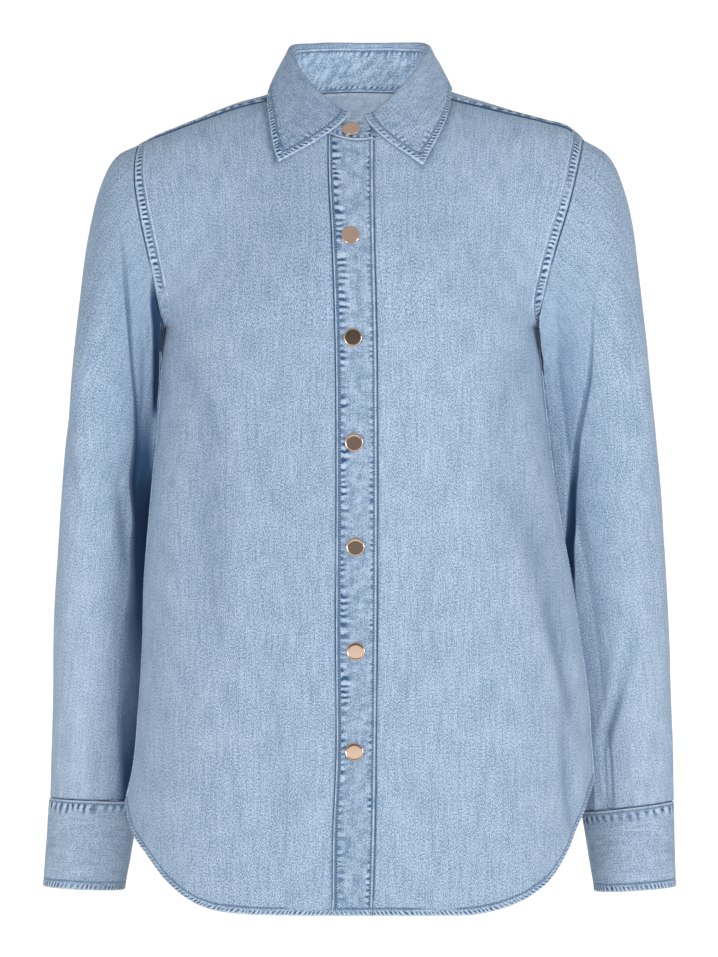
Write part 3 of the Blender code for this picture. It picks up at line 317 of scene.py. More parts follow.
SLEEVE_GROOVE = {
    RIGHT: table(
        "height  groove  dark",
        (-0.090, 0.0000, 0.00),
        (-0.136, 0.0012, 0.22),
        (-0.175, 0.0024, 0.50),
        (-0.200, 0.0028, 0.60),
        (-0.225, 0.0030, 0.60),
        (-0.250, 0.0030, 0.60),
        (-0.275, 0.0030, 0.35),
        (-0.300, 0.0020, 0.10),
        (-0.317, 0.0000, 0.00),
        (-0.334, 0.0000, 0.00),
    ),
    LEFT: table(
        "height  groove  dark  wide    fade",
        (-0.150, 0.0000, 0.00, 0.0015, 0.0030),
        (-0.184, 0.0010, 0.25, 0.0015, 0.0030),
        (-0.209, 0.0018, 0.38, 0.0018, 0.0030),
        (-0.234, 0.0026, 0.55, 0.0024, 0.0038),
        (-0.259, 0.0034, 0.50, 0.0028, 0.0042),
        (-0.284, 0.0042, 0.62, 0.0032, 0.0042),
        (-0.309, 0.0056, 0.85, 0.0034, 0.0045),
        (-0.334, 0.0068, 1.35, 0.0042, 0.0045),
        (-0.359, 0.0075, 1.90, 0.0045, 0.0055),
        (-0.376, 0.0075, 1.90, 0.0060, 0.0030),
        (-0.392, 0.0060, 1.50, 0.0060, 0.0030),
        (-0.405, 0.0030, 0.60, 0.0060, 0.0030),
        (-0.425, 0.0000, 0.00, 0.0060, 0.0030),
    ),
}
EVEN_TUCK = {"step": 0.0, "tint": 0.0, "ramp": 0.0040, "wide": 0.0020, "fade": 0.0040}
# Painted shade: how much darker creases are painted for each metre of their depth
CREASE_SHADE, SLEEVE_CREASE_SHADE = 75, 55  # darkness for each metre of depth
SLEEVE_RADIUS = 0.045
FILLED_TO = {RIGHT: -0.34, LEFT: -0.62}  # where a sleeve's inner front corner ends
# The cleft between the right sleeve and the body, below the armhole, painted darker by its depth: painted
# shade
CLEFT = table(
    "height  line    depth   half",
    (-0.150, 0.1702, 0.0000, 0.0018),
    (-0.168, 0.1696, 0.0060, 0.0032),
    (-0.190, 0.1668, 0.0110, 0.0046),
    (-0.215, 0.1662, 0.0125, 0.0048),
    (-0.240, 0.1672, 0.0110, 0.0044),
    (-0.256, 0.1684, 0.0060, 0.0036),
    (-0.268, 0.1692, 0.0000, 0.0030),
)

# Smaller creases of the sleeves, each also painted darker by its depth as painted shade: from one height and
# angle round the sleeve to another (0 is the inner side, 90 the front, 180 the outer side and 270 the back)
SLEEVE_CREASES = table(
    "side  from_z  from_turn  to_z   to_turn  depth   width",
    (RIGHT, -0.240, 148, -0.370, 96, 0.0018, 0.009),
    (RIGHT, -0.300, 60, -0.400, 40, 0.0030, 0.006),
    (RIGHT, -0.520, 80, -0.585, 74, 0.0014, 0.006),
    (RIGHT, -0.500, 120, -0.575, 128, 0.0012, 0.007),
    (RIGHT, -0.180, 300, -0.330, 250, 0.0040, 0.010),
    (RIGHT, -0.330, 320, -0.420, 262, 0.0035, 0.009),
    (RIGHT, -0.400, 200, -0.560, 220, 0.0022, 0.010),
    (RIGHT, -0.120, 215, -0.260, 235, 0.0024, 0.012),
    (LEFT, -0.334, 118, -0.450, 110, 0.0016, 0.008),
    (LEFT, -0.440, 94, -0.500, 66, 0.0030, 0.0060),
    (LEFT, -0.480, 76, -0.552, 44, 0.0050, 0.0042),
    (LEFT, -0.525, 48, -0.600, 56, 0.0016, 0.0022),
    (LEFT, -0.525, 55, -0.600, 63, 0.0016, 0.0022),
    (LEFT, -0.500, 120, -0.585, 112, 0.0014, 0.006),
    (LEFT, -0.160, 112, -0.300, 100, 0.0012, 0.010),
    (LEFT, -0.190, 300, -0.320, 252, 0.0040, 0.010),
    (LEFT, -0.340, 318, -0.430, 260, 0.0034, 0.009),
    (LEFT, -0.390, 205, -0.550, 216, 0.0022, 0.010),
    (LEFT, -0.110, 220, -0.250, 238, 0.0024, 0.012),
)

CUFF_WALL = 0.0020
CUFF_RISE = 0.0005
CUFF_PALER = {RIGHT: 0.16, LEFT: 0.08}
CUFF_LAP_AT = math.radians(236)
CUFF_LAP = 2 * math.pi * 3 / 26

# The collar, by the angle round the neck: 0 at the centre front, 90 at the wearer's right, 180 at the back
STAND = table(
    "turn  height  lean",
    (0, 0.0268, 45),
    (12, 0.0242, 44),
    (30, 0.0236, 40),
    (45, 0.0232, 34),
    (60, 0.0246, 28),
    (75, 0.0292, 23),
    (90, 0.0335, 20),
    (105, 0.0368, 18),
    (125, 0.0376, 14),
    (150, 0.0372, 9),
    (180, 0.0362, 6),
)
STAND_ENDS = (-10.48, 376.90)
STAND_ROUNDING = 7.0
LEAF_ENDS = (9.2, 353.86)
LEAF_ROLL = table(
    "step  out  rise",
    (0, -0.0016, 0.0),
    (1, -0.0003, 0.0031),
    (2, 0.0024, 0.0042),
    (3, 0.0047, 0.0024),
    (4, 0.0052, 0.0),
)
LEAF_GAP = 0.00105
LEAF_LIFT = 0.0018
LEAF = table(
    "turn  right_x right_z  left_x left_z",
    (9, 0.0655, -0.0560, 0.0522, -0.0587),
    (25, 0.0696, -0.0452, 0.0578, -0.0485),
    (45, 0.0732, -0.0257, 0.0657, -0.0334),
    (65, 0.0753, -0.0070, 0.0734, -0.0145),
    (88, 0.0730, 0.0100, 0.0765, 0.0100),
    (110, 0.0675, 0.0045, 0.0705, 0.0048),
    (135, 0.0515, 0.0025, 0.0530, 0.0035),
    (160, 0.0260, 0.0035, 0.0265, 0.0040),
    (180, 0.0000, 0.0040, 0.0000, 0.0040),
)


class Margin(NamedTuple):
    """A sewn margin, by the distance in from its edge: where the stitching runs, where the cross puckers
    start and end, their spacing, how far they slant, their depth, how dark they are and how uneven."""

    stitch: float
    first: float
    last: float
    pitch: float
    slant: float
    depth: float
    tint: float = 1.0
    uneven: float = 0.0


FELLED = Margin(0.0017, 0.0023, 0.0078, 0.0043, 0.05, 0.0008, 1.2, 0.45)
SHOULDER_SEAM = Margin(0.0024, 0.0028, 0.0084, 0.0095, 0.2, 0.0010, 1.9, 0.4)
TURNED_HEM = Margin(0.0060, 0.0004, 0.0048, 0.0038, 0.8, 0.0007, 0.9, 0.35)
COLLAR_EDGE = Margin(0.0064, 0.0012, 0.0058, 0.0036, 0.1, 0.0007, 1.2, 0.2)
COLLAR_FRONT = Margin(0.0064, 0.0012, 0.0056, 0.0044, 0.0, 0.0006, 0.9, 0.6)
COLLAR_INNER = Margin(0.0064, 0.0070, 0.0110, 0.0056, 0.1, 0.0004, 0.4, 0.9)
BAND_SEAM = Margin(0.0028, 0.0034, 0.0118, 0.0062, 0.0, 0.0008, 0.75, 0.8)
BAND_FREE = Margin(0.0021, 0.0027, 0.0062, 0.0056, 0.0, 0.0004, 0.6, 0.8)
CUFF_TOP = Margin(0.0027, 0.0034, 0.0130, 0.0072, 0.0, 0.0007, 0.9, 0.7)
CUFF_HEM = Margin(0.0066, 0.0008, 0.0058, 0.0040, 0.3, 0.0008, 0.9, 0.3)
STAND_EDGE = Margin(0.0016, 0.0022, 0.0060, 0.0050, 0.0, 0.0005, 0.8, 0.4)
STAND_INSIDE = Margin(0.0026, 0.0032, 0.0085, 0.0056, 0.0, 0.0006, 0.6, 1.0)

# ---------------------------------------------------------------- reading and shaping


def smoothstep(x):
    """0 below 0, 1 above 1, and the S curve 3t^2 - 2t^3 between."""
    t = np.clip(x, 0.0, 1.0)
    return t * t * (3 - 2 * t)


def lookup(rows, by, column, at):
    """The column's value at each place, on a smooth cubic through the table's rows."""
    order = np.argsort(rows[by])
    x, y = rows[by][order], rows[column][order]
    slope = np.gradient(y, x)
    at = np.clip(np.asarray(at, float), x[0], x[-1])
    i = np.clip(np.searchsorted(x, at, side="right") - 1, 0, len(x) - 2)
    width = x[i + 1] - x[i]
    t = (at - x[i]) / width
    start = (1 + 2 * t) * (1 - t) ** 2 * y[i] + t * (1 - t) ** 2 * width * slope[i]
    return start + t * t * (3 - 2 * t) * y[i + 1] + t * t * (t - 1) * width * slope[i + 1]


def by_side(side, rows, by, name, at):
    """The same where the side varies from point to point: the columns name_right and name_left, or right and
    left."""
    left, right = (lookup(rows, by, name.format(word), at) for word in ("left", "right"))
    return np.where(np.asarray(side) == RIGHT, right, left)


def unit(vectors):
    """Each vector over its own length."""
    return vectors / np.maximum(np.linalg.norm(vectors, axis=-1, keepdims=True), 1e-12)


def side_name(side):
    return "right" if side == RIGHT else "left"


def stack(x, y, z):
    """Points from their three measures, each a number or an array."""
    return np.stack(np.broadcast_arrays(x, y, z), axis=-1).astype(float)


def lumps(u, v, size, seed):
    """Smooth noise from -1 to 1: drawn values on a lattice of squares of that size, blended across each
    square by the smoothstep of the place in it."""
    drawn = np.random.default_rng(seed).uniform(-1, 1, (97, 97))
    u, v = np.broadcast_arrays(u / size, v / size)
    i, j = np.floor(u).astype(int), np.floor(v).astype(int)
    s, t = smoothstep(u - i), smoothstep(v - j)
    low = drawn[i % 97, j % 97] * (1 - s) + drawn[(i + 1) % 97, j % 97] * s
    high = drawn[i % 97, (j + 1) % 97] * (1 - s) + drawn[(i + 1) % 97, (j + 1) % 97] * s
    return low * (1 - t) + high * t


def crowded(count):
    """0 to 1 in even steps, with two more values close to each end, where an edge is rounded."""
    near = np.array([0.09, 0.28]) / count
    return np.sort(np.concatenate([np.linspace(0, 1, count + 1), near, 1 - near]))


# ---------------------------------------------------------------- the torso


def section_fall(across, arch, face):
    """How far a section has turned from its centre depth (0) to its side depth (1): a quarter of a
    superellipse at and below the underarm level, and a shallow power curve over the chest."""
    power = SQUARENESS[face]
    ellipse = 1 - (1 - np.clip(across, 0, 1) ** power) ** (1 / power)
    chest = across**CHEST_POWER
    blend = smoothstep(arch / CHEST_ROW)
    return ellipse + (chest - ellipse) * blend


def lower_torso(side, face, across, drop):
    """Below the underarm level. drop is 0 there and 1 at the hem."""
    hem = lookup(HEM, "share", side_name(side), across)
    z = UNDERARM_Z + (hem - UNDERARM_Z) * drop
    half = lookup(BODY, "height", side_name(side), z)
    depth = lookup(BODY, "height", "front" if face == FRONT else "back", z)
    fall = section_fall(across, np.zeros_like(z), face)
    return stack(side * half * across, face * depth + (SIDE_Y - face * depth) * fall, z)


def upper_torso(side, face, across, arch):
    """From the underarm level (arch 0) to the shoulder ridge (90 degrees), each row from the centre profile
    to the armhole seam."""
    depth = lookup(BODY, "height", "front" if face == FRONT else "back", UNDERARM_Z)
    centre_z = UNDERARM_Z + NECK_APEX * np.sin(arch)
    centre_y = face * depth * np.clip(np.cos(arch), 0, 1) ** CENTRE_POWER[face]
    share = np.sin(arch) ** 2
    arm_z = UNDERARM_Z + (SHOULDER_TIP_Z[side] - UNDERARM_Z) * share
    arm_y = SIDE_Y + face * ARMHOLE_DEPTH[face] * np.clip(np.sin(2 * arch), 0, 1)
    arm_x = lookup(ARMHOLE, "share", side_name(side), share)
    high = smoothstep((arch - CHEST_ROW) / (math.pi / 2 - CHEST_ROW))
    low = across**CHEST_SLOPE
    drop = low + (lookup(SHOULDER, "share", side_name(side), across) - low) * high
    y = centre_y + (arm_y - centre_y) * section_fall(across, arch, face)
    return stack(side * arm_x * across, y, centre_z + (arm_z - centre_z) * drop)


def torso(side, face, across, row):
    """The body's outer form. across runs from 0 at the centre line to 1 at the side seam or the armhole. row
    runs from -1 at the hem to 0 at the underarm level, and then is the arch angle."""
    across, row = np.broadcast_arrays(np.asarray(across, float), np.asarray(row, float))
    below = lower_torso(side, face, across, np.clip(-row, 0, 1))
    above = upper_torso(side, face, across, np.clip(row, 0, math.pi / 2))
    return np.where((row < 0)[..., None], below, above)


def over_shoulder(side, across, turn):
    """The upper torso by one angle that runs from the back (0) over the ridge (90 degrees) to the front. The
    side may vary from point to point."""
    side = np.asarray(side)
    if side.ndim:
        right, left = over_shoulder(RIGHT, across, turn), over_shoulder(LEFT, across, turn)
        return np.where((side == RIGHT)[..., None], right, left)
    side = int(side)
    back = torso(side, BACK, across, np.minimum(turn, math.pi / 2))
    front = torso(side, FRONT, across, np.minimum(math.pi - turn, math.pi / 2))
    return np.where((turn <= math.pi / 2)[..., None], back, front)


def torso_normals(side, face, across, row):
    """Unit normals of the torso, facing out, from small steps across and along it."""
    across, row = np.broadcast_arrays(np.asarray(across, float), np.asarray(row, float))
    further, nearer = np.clip(across + STEP, 0, 1), np.clip(across - STEP, 0, 1)
    higher = np.minimum(row + STEP, math.pi / 2)
    aside = torso(side, face, further, row) - torso(side, face, nearer, row)
    up = torso(side, face, across, higher) - torso(side, face, across, row - STEP)
    return -side * face * unit(np.cross(aside, up))


def shoulder_normals(side, across, turn):
    """The same for over_shoulder."""
    further, nearer = np.clip(across + STEP, 0, 1), np.clip(across - STEP, 0, 1)
    aside = over_shoulder(side, further, turn) - over_shoulder(side, nearer, turn)
    ahead = over_shoulder(side, across, turn + STEP) - over_shoulder(side, across, turn - STEP)
    return -np.asarray(side)[..., None] * unit(np.cross(aside, ahead))


def centre_height(row):
    """Height of the middle of the front on a row."""
    lower = UNDERARM_Z + (HEM["right"][0] - UNDERARM_Z) * np.clip(-row, 0, 1)
    return np.where(row < 0, lower, UNDERARM_Z + NECK_APEX * np.sin(np.clip(row, 0, math.pi / 2)))


def half_width(side, row):
    """Distance from the middle to the side seam or armhole on a row."""
    upper = by_side(side, ARMHOLE, "share", "{}", np.sin(np.clip(row, 0, math.pi / 2)) ** 2)
    return np.where(row < 0, by_side(side, BODY, "height", "{}", centre_height(row)), upper)


def fold_depth(u, v, run, crease):
    """Depth of a crease at places from its start, with the way that it runs: a bell across it, less a third
    of two bells beside it, times a smooth rise and fall from end to end."""
    along = (u * run[0] + v * run[1]) / (run @ run)
    aside = np.abs(u * run[1] - v * run[0]) / math.sqrt(run @ run) / crease["width"]
    section = np.exp(-(aside**1.7)) - 0.3 * np.exp(-((aside - 1.9) ** 2) / 0.7)
    return crease["depth"] * section * smoothstep(along / 0.35) * smoothstep((1 - along) / 0.35)


def creased(points, normals, face):
    """The points with the creases of that face pressed in, and the painted shade in the creases, darker
    where they are deeper.
    """
    depth = np.zeros(points.shape[:-1])
    for crease in rows_where(CREASES, "face", face):
        start_x, start_z = crease["from_x"], crease["from_z"]
        run = np.array([crease["to_x"] - start_x, crease["to_z"] - start_z])
        depth += fold_depth(points[..., 0] - start_x, points[..., 2] - start_z, run, crease)
    return points - normals * depth[..., None], -CREASE_SHADE * depth


def washed(side, points):
    """How much painted light (above 0) or painted shade a side's cloth has: soft round patches, each a bell
    in both directions."""
    wear = np.zeros(points.shape[:-1])
    for patch in rows_where(LIGHT_AND_SHADE_PATCHES, "side", side):
        aside = (np.abs(points[..., 0]) - patch["x"]) / patch["wide"]
        above = (points[..., 2] - patch["height"]) / patch["tall"]
        wear -= patch["dark"] * np.exp(-(aside**2) - above**2)
    return wear


def beside_collar(points):
    """The painted shadow beside the collar's edge: a bell 3 mm wide round that line, seen from the front,
    shifted a little towards the wearer's right and down."""
    turns = np.concatenate([np.linspace(LEAF_ENDS[0], 110, 160), np.linspace(250, 353.8, 160)])
    edge = leaf_edge(turns)[:, [0, 2]] + [-0.0010, -0.0006]
    near = (points[..., 2] > -0.080) & (np.abs(points[..., 0]) < 0.10)
    apart = np.full(points.shape[:-1], 1.0)
    apart[near] = np.linalg.norm(points[near][:, None, [0, 2]] - edge, axis=-1).min(axis=1)
    return -0.5 * np.exp(-((apart / 0.0032) ** 2))


# ---------------------------------------------------------------- seam lines


def neck_place(turn):
    """(side, share across, angle over the shoulder) of the neckline, at angles round it in degrees."""
    a = np.radians(np.asarray(turn, float) % 360)
    reach = np.where(np.cos(a) > 0, NECK_FRONT, NECK_BACK)
    side = np.where(np.sin(a) >= 0, RIGHT, LEFT)
    return side, NECK_SHARE * np.abs(np.sin(a)), math.pi / 2 + reach * np.cos(a)


def neck_line(turns):
    """Points of the neckline seam at angles round the neck in degrees."""
    return over_shoulder(*neck_place(turns))


def neck_turn_at(x):
    """The angle round the neck, near the centre front, where the neckline has each x."""
    turn = np.zeros_like(np.asarray(x, float))
    for _ in range(20):
        turn = turn + (neck_line(turn)[..., 0] - x) / NECK_PACE
    return turn


def front_seam_arch(across):
    """Arch angle of the shoulder seam at a share across: straight from the neckline to the armhole."""
    _, share, over = neck_place(YOKE_NECK_TURN)
    return (math.pi - over) + (YOKE_FRONT_TIP - (math.pi - over)) * (across - share) / (1 - share)


def arch_at(side, face, share, height):
    """Arch angle at which the upper torso reaches each height, at each share across, by halving."""
    low, high = np.radians(2) + 0 * share, np.radians(90) + 0 * share
    for _ in range(24):
        middle = (low + high) / 2
        reached = by_both(lambda s: np.where(face == FRONT, upper_torso(s, FRONT, share, middle)[..., 2],
                                             upper_torso(s, BACK, share, middle)[..., 2]), side)
        low = np.where(reached < height, middle, low)
        high = np.where(reached < height, high, middle)
    return (low + high) / 2


def by_both(form, side):
    """A form's values where the side varies from point to point."""
    return np.where(np.asarray(side) == RIGHT, form(RIGHT), form(LEFT))


def back_seam_arch(shares):
    """Arch angle of the yoke's level seam across the back."""
    shares = np.asarray(shares, float)
    return arch_at(RIGHT, BACK, shares, YOKE_BACK_Z)


def band_edge(name, row):
    """x of the top band's seam or free edge on a row."""
    return lookup(PLACKET, "height", name, centre_height(row))


def front_edge(side, row):
    """Distance from the middle to the seam between a front and its band."""
    return -band_edge("seam", row) if side == RIGHT else band_edge("free", row) + UNDER_SHIFT


def to_angle(across):
    """Share across as an angle round the section, in which even steps are nearly even on the cloth."""
    return np.arcsin(np.clip(across, 0, 1) ** (SQUARENESS[FRONT] / 2))


def to_share(angle):
    """The other way: the share across at an angle round the section."""
    return np.clip(np.sin(angle), 0, 1) ** (2 / SQUARENESS[FRONT])


# ---------------------------------------------------------------- cloth


def lengths(points, axis):
    """Distance along the cloth from the first row, or column, to each point."""
    steps = np.linalg.norm(np.diff(points, axis=axis), axis=-1)
    return np.concatenate([np.zeros_like(np.take(steps, [0], axis)), np.cumsum(steps, axis)], axis)


def from_edge(points, edge):
    """Distance along the cloth from one of a grid's edges."""
    axis = 0 if edge.endswith("row") else 1
    run = lengths(points, axis)
    return run if edge.startswith("first") else np.take(run, [-1], axis) - run


def pulled_back(points, edges, distance=SEAM_GAP / 2):
    """The grid with its named edges drawn in by a distance, along the cloth."""
    result = points.copy()
    for name in edges:
        grid = np.moveaxis(result, 0 if name.endswith("row") else 1, 0)
        end, beside = (0, 3) if name.startswith("first") else (-1, -4)
        step = unit(grid[beside] - grid[end])
        room = np.linalg.norm(grid[beside] - grid[end], axis=-1, keepdims=True)
        for k, share in zip((0, 1, 2), (1.0, 0.8, 0.5)):
            grid[k if end == 0 else -1 - k] += np.minimum(distance, room / 2) * share * step
    return result


def grid_normals(points, like, closed=False):
    """Unit normals of a grid from its neighbours' differences, turned to the same side as like."""
    if closed:
        along = np.roll(points, -1, axis=1) - np.roll(points, 1, axis=1)
    else:
        along = np.gradient(points, axis=1)
    normals = unit(np.cross(along, np.gradient(points, axis=0)))
    return normals if np.sum(normals * like) > 0 else -normals


def grid_faces(rows, columns, closed):
    """Corner numbers of each quad of a grid."""
    r, c = np.meshgrid(np.arange(rows - 1), np.arange(columns if closed else columns - 1), indexing="ij")
    after = (c + 1) % columns
    quads = [r * columns + c, r * columns + after, (r + 1) * columns + after, (r + 1) * columns + c]
    return np.stack(quads, axis=-1).reshape(-1, 4)


def rim(rows, columns, closed):
    """The grid's border as closed loops of corner numbers."""
    bottom = np.arange(columns)
    top = (rows - 1) * columns + np.arange(columns)
    if closed:
        return [bottom, top[::-1]]
    right = np.arange(rows) * columns + columns - 1
    left = np.arange(rows)[::-1] * columns
    return [np.concatenate([bottom[:-1], right[:-1], top[::-1][:-1], left[:-1]])]


def add_piece(name, points, faces, material, grain=None, marks=None, sharp=60):
    """A mesh object from whole arrays: corner points, faces as arrays of corner numbers, the grain UV of
    each face corner and named numbers at each point. It rides on the shirt's one body."""
    mesh = bpy.data.meshes.new(name)
    mesh.vertices.add(len(points))
    mesh.vertices.foreach_set("co", np.ascontiguousarray(points, np.float32).ravel())
    corners = np.concatenate([f.ravel() for f in faces]).astype(np.int32)
    sizes = np.concatenate([np.full(len(f), f.shape[1]) for f in faces])
    mesh.loops.add(len(corners))
    mesh.loops.foreach_set("vertex_index", corners)
    mesh.polygons.add(len(sizes))
    mesh.polygons.foreach_set("loop_start", np.concatenate([[0], np.cumsum(sizes)[:-1]]).astype(np.int32))
    mesh.update(calc_edges=True)
    if mesh.validate():
        raise RuntimeError(f"{name} had faces that Blender had to mend")
    if grain is not None:
        layer = mesh.uv_layers.new(name="grain")
        layer.data.foreach_set("uv", np.ascontiguousarray(grain, np.float32).ravel())
    for key, values in (marks or {}).items():
        attribute = mesh.attributes.new(key, "FLOAT", "POINT")
        attribute.data.foreach_set("value", np.ascontiguousarray(values, np.float32).ravel())
    mesh.materials.append(material)
    mesh.shade_smooth()
    mesh.set_sharp_from_angle(angle=math.radians(sharp))
    piece = bpy.data.objects.new(name, mesh)
    bpy.context.scene.collection.objects.link(piece)
    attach(piece, BODY_NAME)
    return piece


class Sewn(NamedTuple):
    """What sewing does to a cloth at each point: how far it stands out, how worn or dark it is, with the
    painted shade and painted light that a panel adds, and the strength and phase of the cross puckers."""

    relief: np.ndarray
    wear: np.ndarray
    crimp: np.ndarray
    phase: np.ndarray


PLAIN = Sewn(0.0, 0.0, 0.0, 0.0)
REVERSE = PLAIN._replace(wear=0.7)  # the inner face, where the pale weft shows


class Cloth(NamedTuple):
    """A finished shell: its object, and the grid of its outer face with normals and distances along it."""

    piece: object
    points: np.ndarray
    normals: np.ndarray
    along: np.ndarray
    across: np.ndarray


def edge_wear(form, seams):
    """Darkness along the seams: in each a bell 0.6 mm wide, on a soft fall over 3 mm."""
    wear = np.zeros(form.shape[:2])
    for edge in seams:
        distance = from_edge(form, edge)
        wear -= 1.2 * np.exp(-((distance / 0.0006) ** 2)) + 0.15 * smoothstep(1 - distance / 0.0030)
    return wear


def edge_drop(form, rounded, radius):
    """Fall of the outer face towards its rounded edges: a quarter circle of that radius."""
    drop = np.zeros(form.shape[:2])
    for edge in rounded:
        inward = np.clip(1 - from_edge(form, edge) / radius, 0, 1)
        drop = np.maximum(drop, radius * (1 - np.sqrt(1 - inward**2)))
    return drop


def shell_faces(outer, normals, closed):
    """Corner numbers of a shell's quads, facing outwards: the outer face, the inner face and the borders.
    Then the places of the outer quads' corners in the grain's grid, where a closed one has its first column
    twice, and the places of the borders' corners in the shell's own grid."""
    rows, columns = outer.shape[:2]
    quads, spots = grid_faces(rows, columns, closed), grid_faces(rows, columns + closed, False)
    diagonal = outer.reshape(-1, 3)[quads[:, 2:]] - outer.reshape(-1, 3)[quads[:, :2]]
    flipped = np.sum(np.cross(diagonal[:, 0], diagonal[:, 1]) * normals.reshape(-1, 3)[quads[:, 0]]) < 0
    count, borders = rows * columns, []
    for loop in rim(rows, columns, closed):
        after = np.roll(loop, -1)
        borders.append(np.stack([loop, loop + count, after + count, after], axis=1))
    borders = np.concatenate(borders)
    if flipped:
        quads, spots, borders = quads[:, ::-1], spots[:, ::-1], borders[:, ::-1]
    return np.concatenate([quads, (quads + count)[:, ::-1], borders]), spots, borders % count


def cloth(name, form, like, wall, sewn=PLAIN, lining=0.0, mottle=0.0, rounded=(), seams=(), closed=False,
          turned=False, radius=0.0009, reverse=REVERSE, start=0.0):
    """A closed shell between the form, moved out along its normals by the sewing's relief, and the same
    form moved in by the wall and the lining's relief. Its rounded edges fall away, and along a seam it is
    dark. The grain UV is in metres: distance across and along the cloth, or the other way round where the
    cut is turned."""
    rows, columns = form.shape[:2]
    normals = grid_normals(form, like, closed)
    wide = np.concatenate([form, form[:, :1]], axis=1) if closed else form
    across, along = lengths(wide, 1) + start, lengths(wide, 0)
    along = np.broadcast_to(along.mean(axis=1, keepdims=True), along.shape)
    drop = edge_drop(form, rounded, radius)
    outer = form + normals * (sewn.relief - np.minimum(drop, 0.7 * wall))[..., None]
    inner = form - normals * (wall + lining - 0.25 * drop)[..., None]
    faces, spots, border_spots = shell_faces(outer, normals, closed)
    grain = np.stack([along, across] if turned else [across, along], axis=-1)
    quad_grain = grain.reshape(-1, 2)[spots]
    uv = np.concatenate([quad_grain, quad_grain[:, ::-1], grain[:, :columns].reshape(-1, 2)[border_spots]])
    pairs = {
        "wear": (sewn.wear + edge_wear(form, seams), reverse.wear),
        "crimp": (sewn.crimp, reverse.crimp),
        "phase": (sewn.phase, reverse.phase),
        "mottle": mottle if isinstance(mottle, tuple) else (mottle, mottle),
    }
    marks = {key: np.concatenate([np.broadcast_to(value, (rows, columns)).ravel() for value in pair])
             for key, pair in pairs.items()}
    points = np.concatenate([outer.reshape(-1, 3), inner.reshape(-1, 3)])
    piece = add_piece(name, points, [faces], finish("washed_denim", denim), uv, marks)
    return Cloth(piece, outer, normals, along[:, :columns], across[:, :columns])


def panel(name, *shell, **details):
    """The cloth shell that stands for the solid of that name."""
    made = cloth(name + "_cloth", *shell, **details)
    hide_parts(name)
    return made


def sewn_margin(kind, inward, along, seed):
    """A sewn margin at distances inward from its edge and along it. The edge is a pale rounded bead, a bell
    0.7 mm wide. The stitching lies in a furrow, another bell. Between them the cloth puckers: a cosine along
    the seam whose phase and strength wander, kept to its stretch by smoothsteps."""
    bead = np.exp(-(((inward - 0.0005) / 0.0007) ** 2)) * (0.8 + 0.35 * lumps(along, 0.0, 0.006, seed + 3))
    furrow = np.exp(-(((inward - kind.stitch) / 0.0007) ** 2))
    wander = (0.25 + 0.5 * kind.uneven) * lumps(along, 0.0, 2.8 * kind.pitch, seed)
    phase = (along + kind.slant * inward) / kind.pitch + wander
    strength = 0.8 + (0.3 + 0.5 * kind.uneven) * lumps(along, 0.5 * inward, 1.7 * kind.pitch, seed + 1)
    reach = kind.last * (1 + 0.35 * kind.uneven * lumps(along, 0.0, 1.3 * kind.pitch, seed + 2))
    fade = 0.0012 + 0.8 * kind.uneven * (kind.last - kind.first)
    stretch = smoothstep((inward - kind.first) / 0.0006) * smoothstep((reach - inward) / fade)
    crimp = stretch * np.clip(strength, 0.1, 1.2)
    relief = 0.0002 * bead - 0.0004 * furrow + 0.5 * kind.depth * crimp * np.cos(2 * math.pi * phase)
    wear = 0.95 * bead - 1.1 * furrow - 0.22 * kind.tint * stretch
    return Sewn(relief, wear, kind.tint * crimp, phase + 0 * inward)


def either(first, a, b):
    """One sewing where the condition holds and the other elsewhere."""
    return Sewn(*(np.where(first, x, y) for x, y in zip(a, b)))


def unevenness(along, across, seed):
    """Height of the cloth's own soft unevenness: smooth noise of three sizes."""
    broad = lumps(across, along, 0.060, seed) * 0.0006
    middle = lumps(across, along * 0.6, 0.026, seed + 1) * 0.00028
    return broad + middle + lumps(across, along * 0.7, 0.011, seed + 2) * 0.00009


def sampled(grid, rows, columns):
    """A grid's values at fractional row and column numbers, blended from the four around each."""
    r0 = np.clip(np.floor(rows).astype(int), 0, grid.shape[0] - 2)
    c0 = np.clip(np.floor(columns).astype(int), 0, grid.shape[1] - 2)
    s, t = (rows - r0)[..., None], (columns - c0)[..., None]
    low = grid[r0, c0] * (1 - t) + grid[r0, c0 + 1] * t
    high = grid[r0 + 1, c0] * (1 - t) + grid[r0 + 1, c0 + 1] * t
    return low * (1 - s) + high * s


def column_line(made, inward_grid, inward):
    """The line on a shell that keeps a distance from an edge, from its first row to its last, as points and
    normals: each row's column number where the given distances pass that value."""
    rising = inward_grid[:, -1] > inward_grid[:, 0]
    grid = np.where(rising[:, None], inward_grid, inward_grid[:, ::-1])
    place = np.array([np.interp(inward, row, np.arange(len(row))) for row in grid])
    place = np.where(rising, place, grid.shape[1] - 1 - place)
    rows = np.arange(len(place), dtype=float)
    return sampled(made.points, rows, place), sampled(made.normals, rows, place)


def row_line(made, inward_grid, inward):
    """The same from the first column to the last."""
    turned = made._replace(points=made.points.swapaxes(0, 1), normals=made.normals.swapaxes(0, 1))
    return column_line(turned, inward_grid.T, inward)


def trimmed(line, start, end):
    """A line without its first and last so many metres."""
    points, normals = line
    run = lengths(points, 0)
    keep = (run >= start) & (run <= run[-1] - end)
    return points[keep], normals[keep]


# ---------------------------------------------------------------- finishes


def finish(name, paint):
    """The material of that name, painted at its first use."""
    material = bpy.data.materials.get(name)
    if material is None:
        material = bpy.data.materials.new(name)
        material.use_nodes = True
        paint(material.node_tree, material.node_tree.nodes["Principled BSDF"])
    return material


def node(tree, kind, **settings):
    """A shader node with its properties, or its inputs where a key names one."""
    made = tree.nodes.new("ShaderNode" + kind)
    for key, value in settings.items():
        if hasattr(made, key):
            setattr(made, key, value)
        else:
            made.inputs[key.replace("_", " ")].default_value = value
    return made


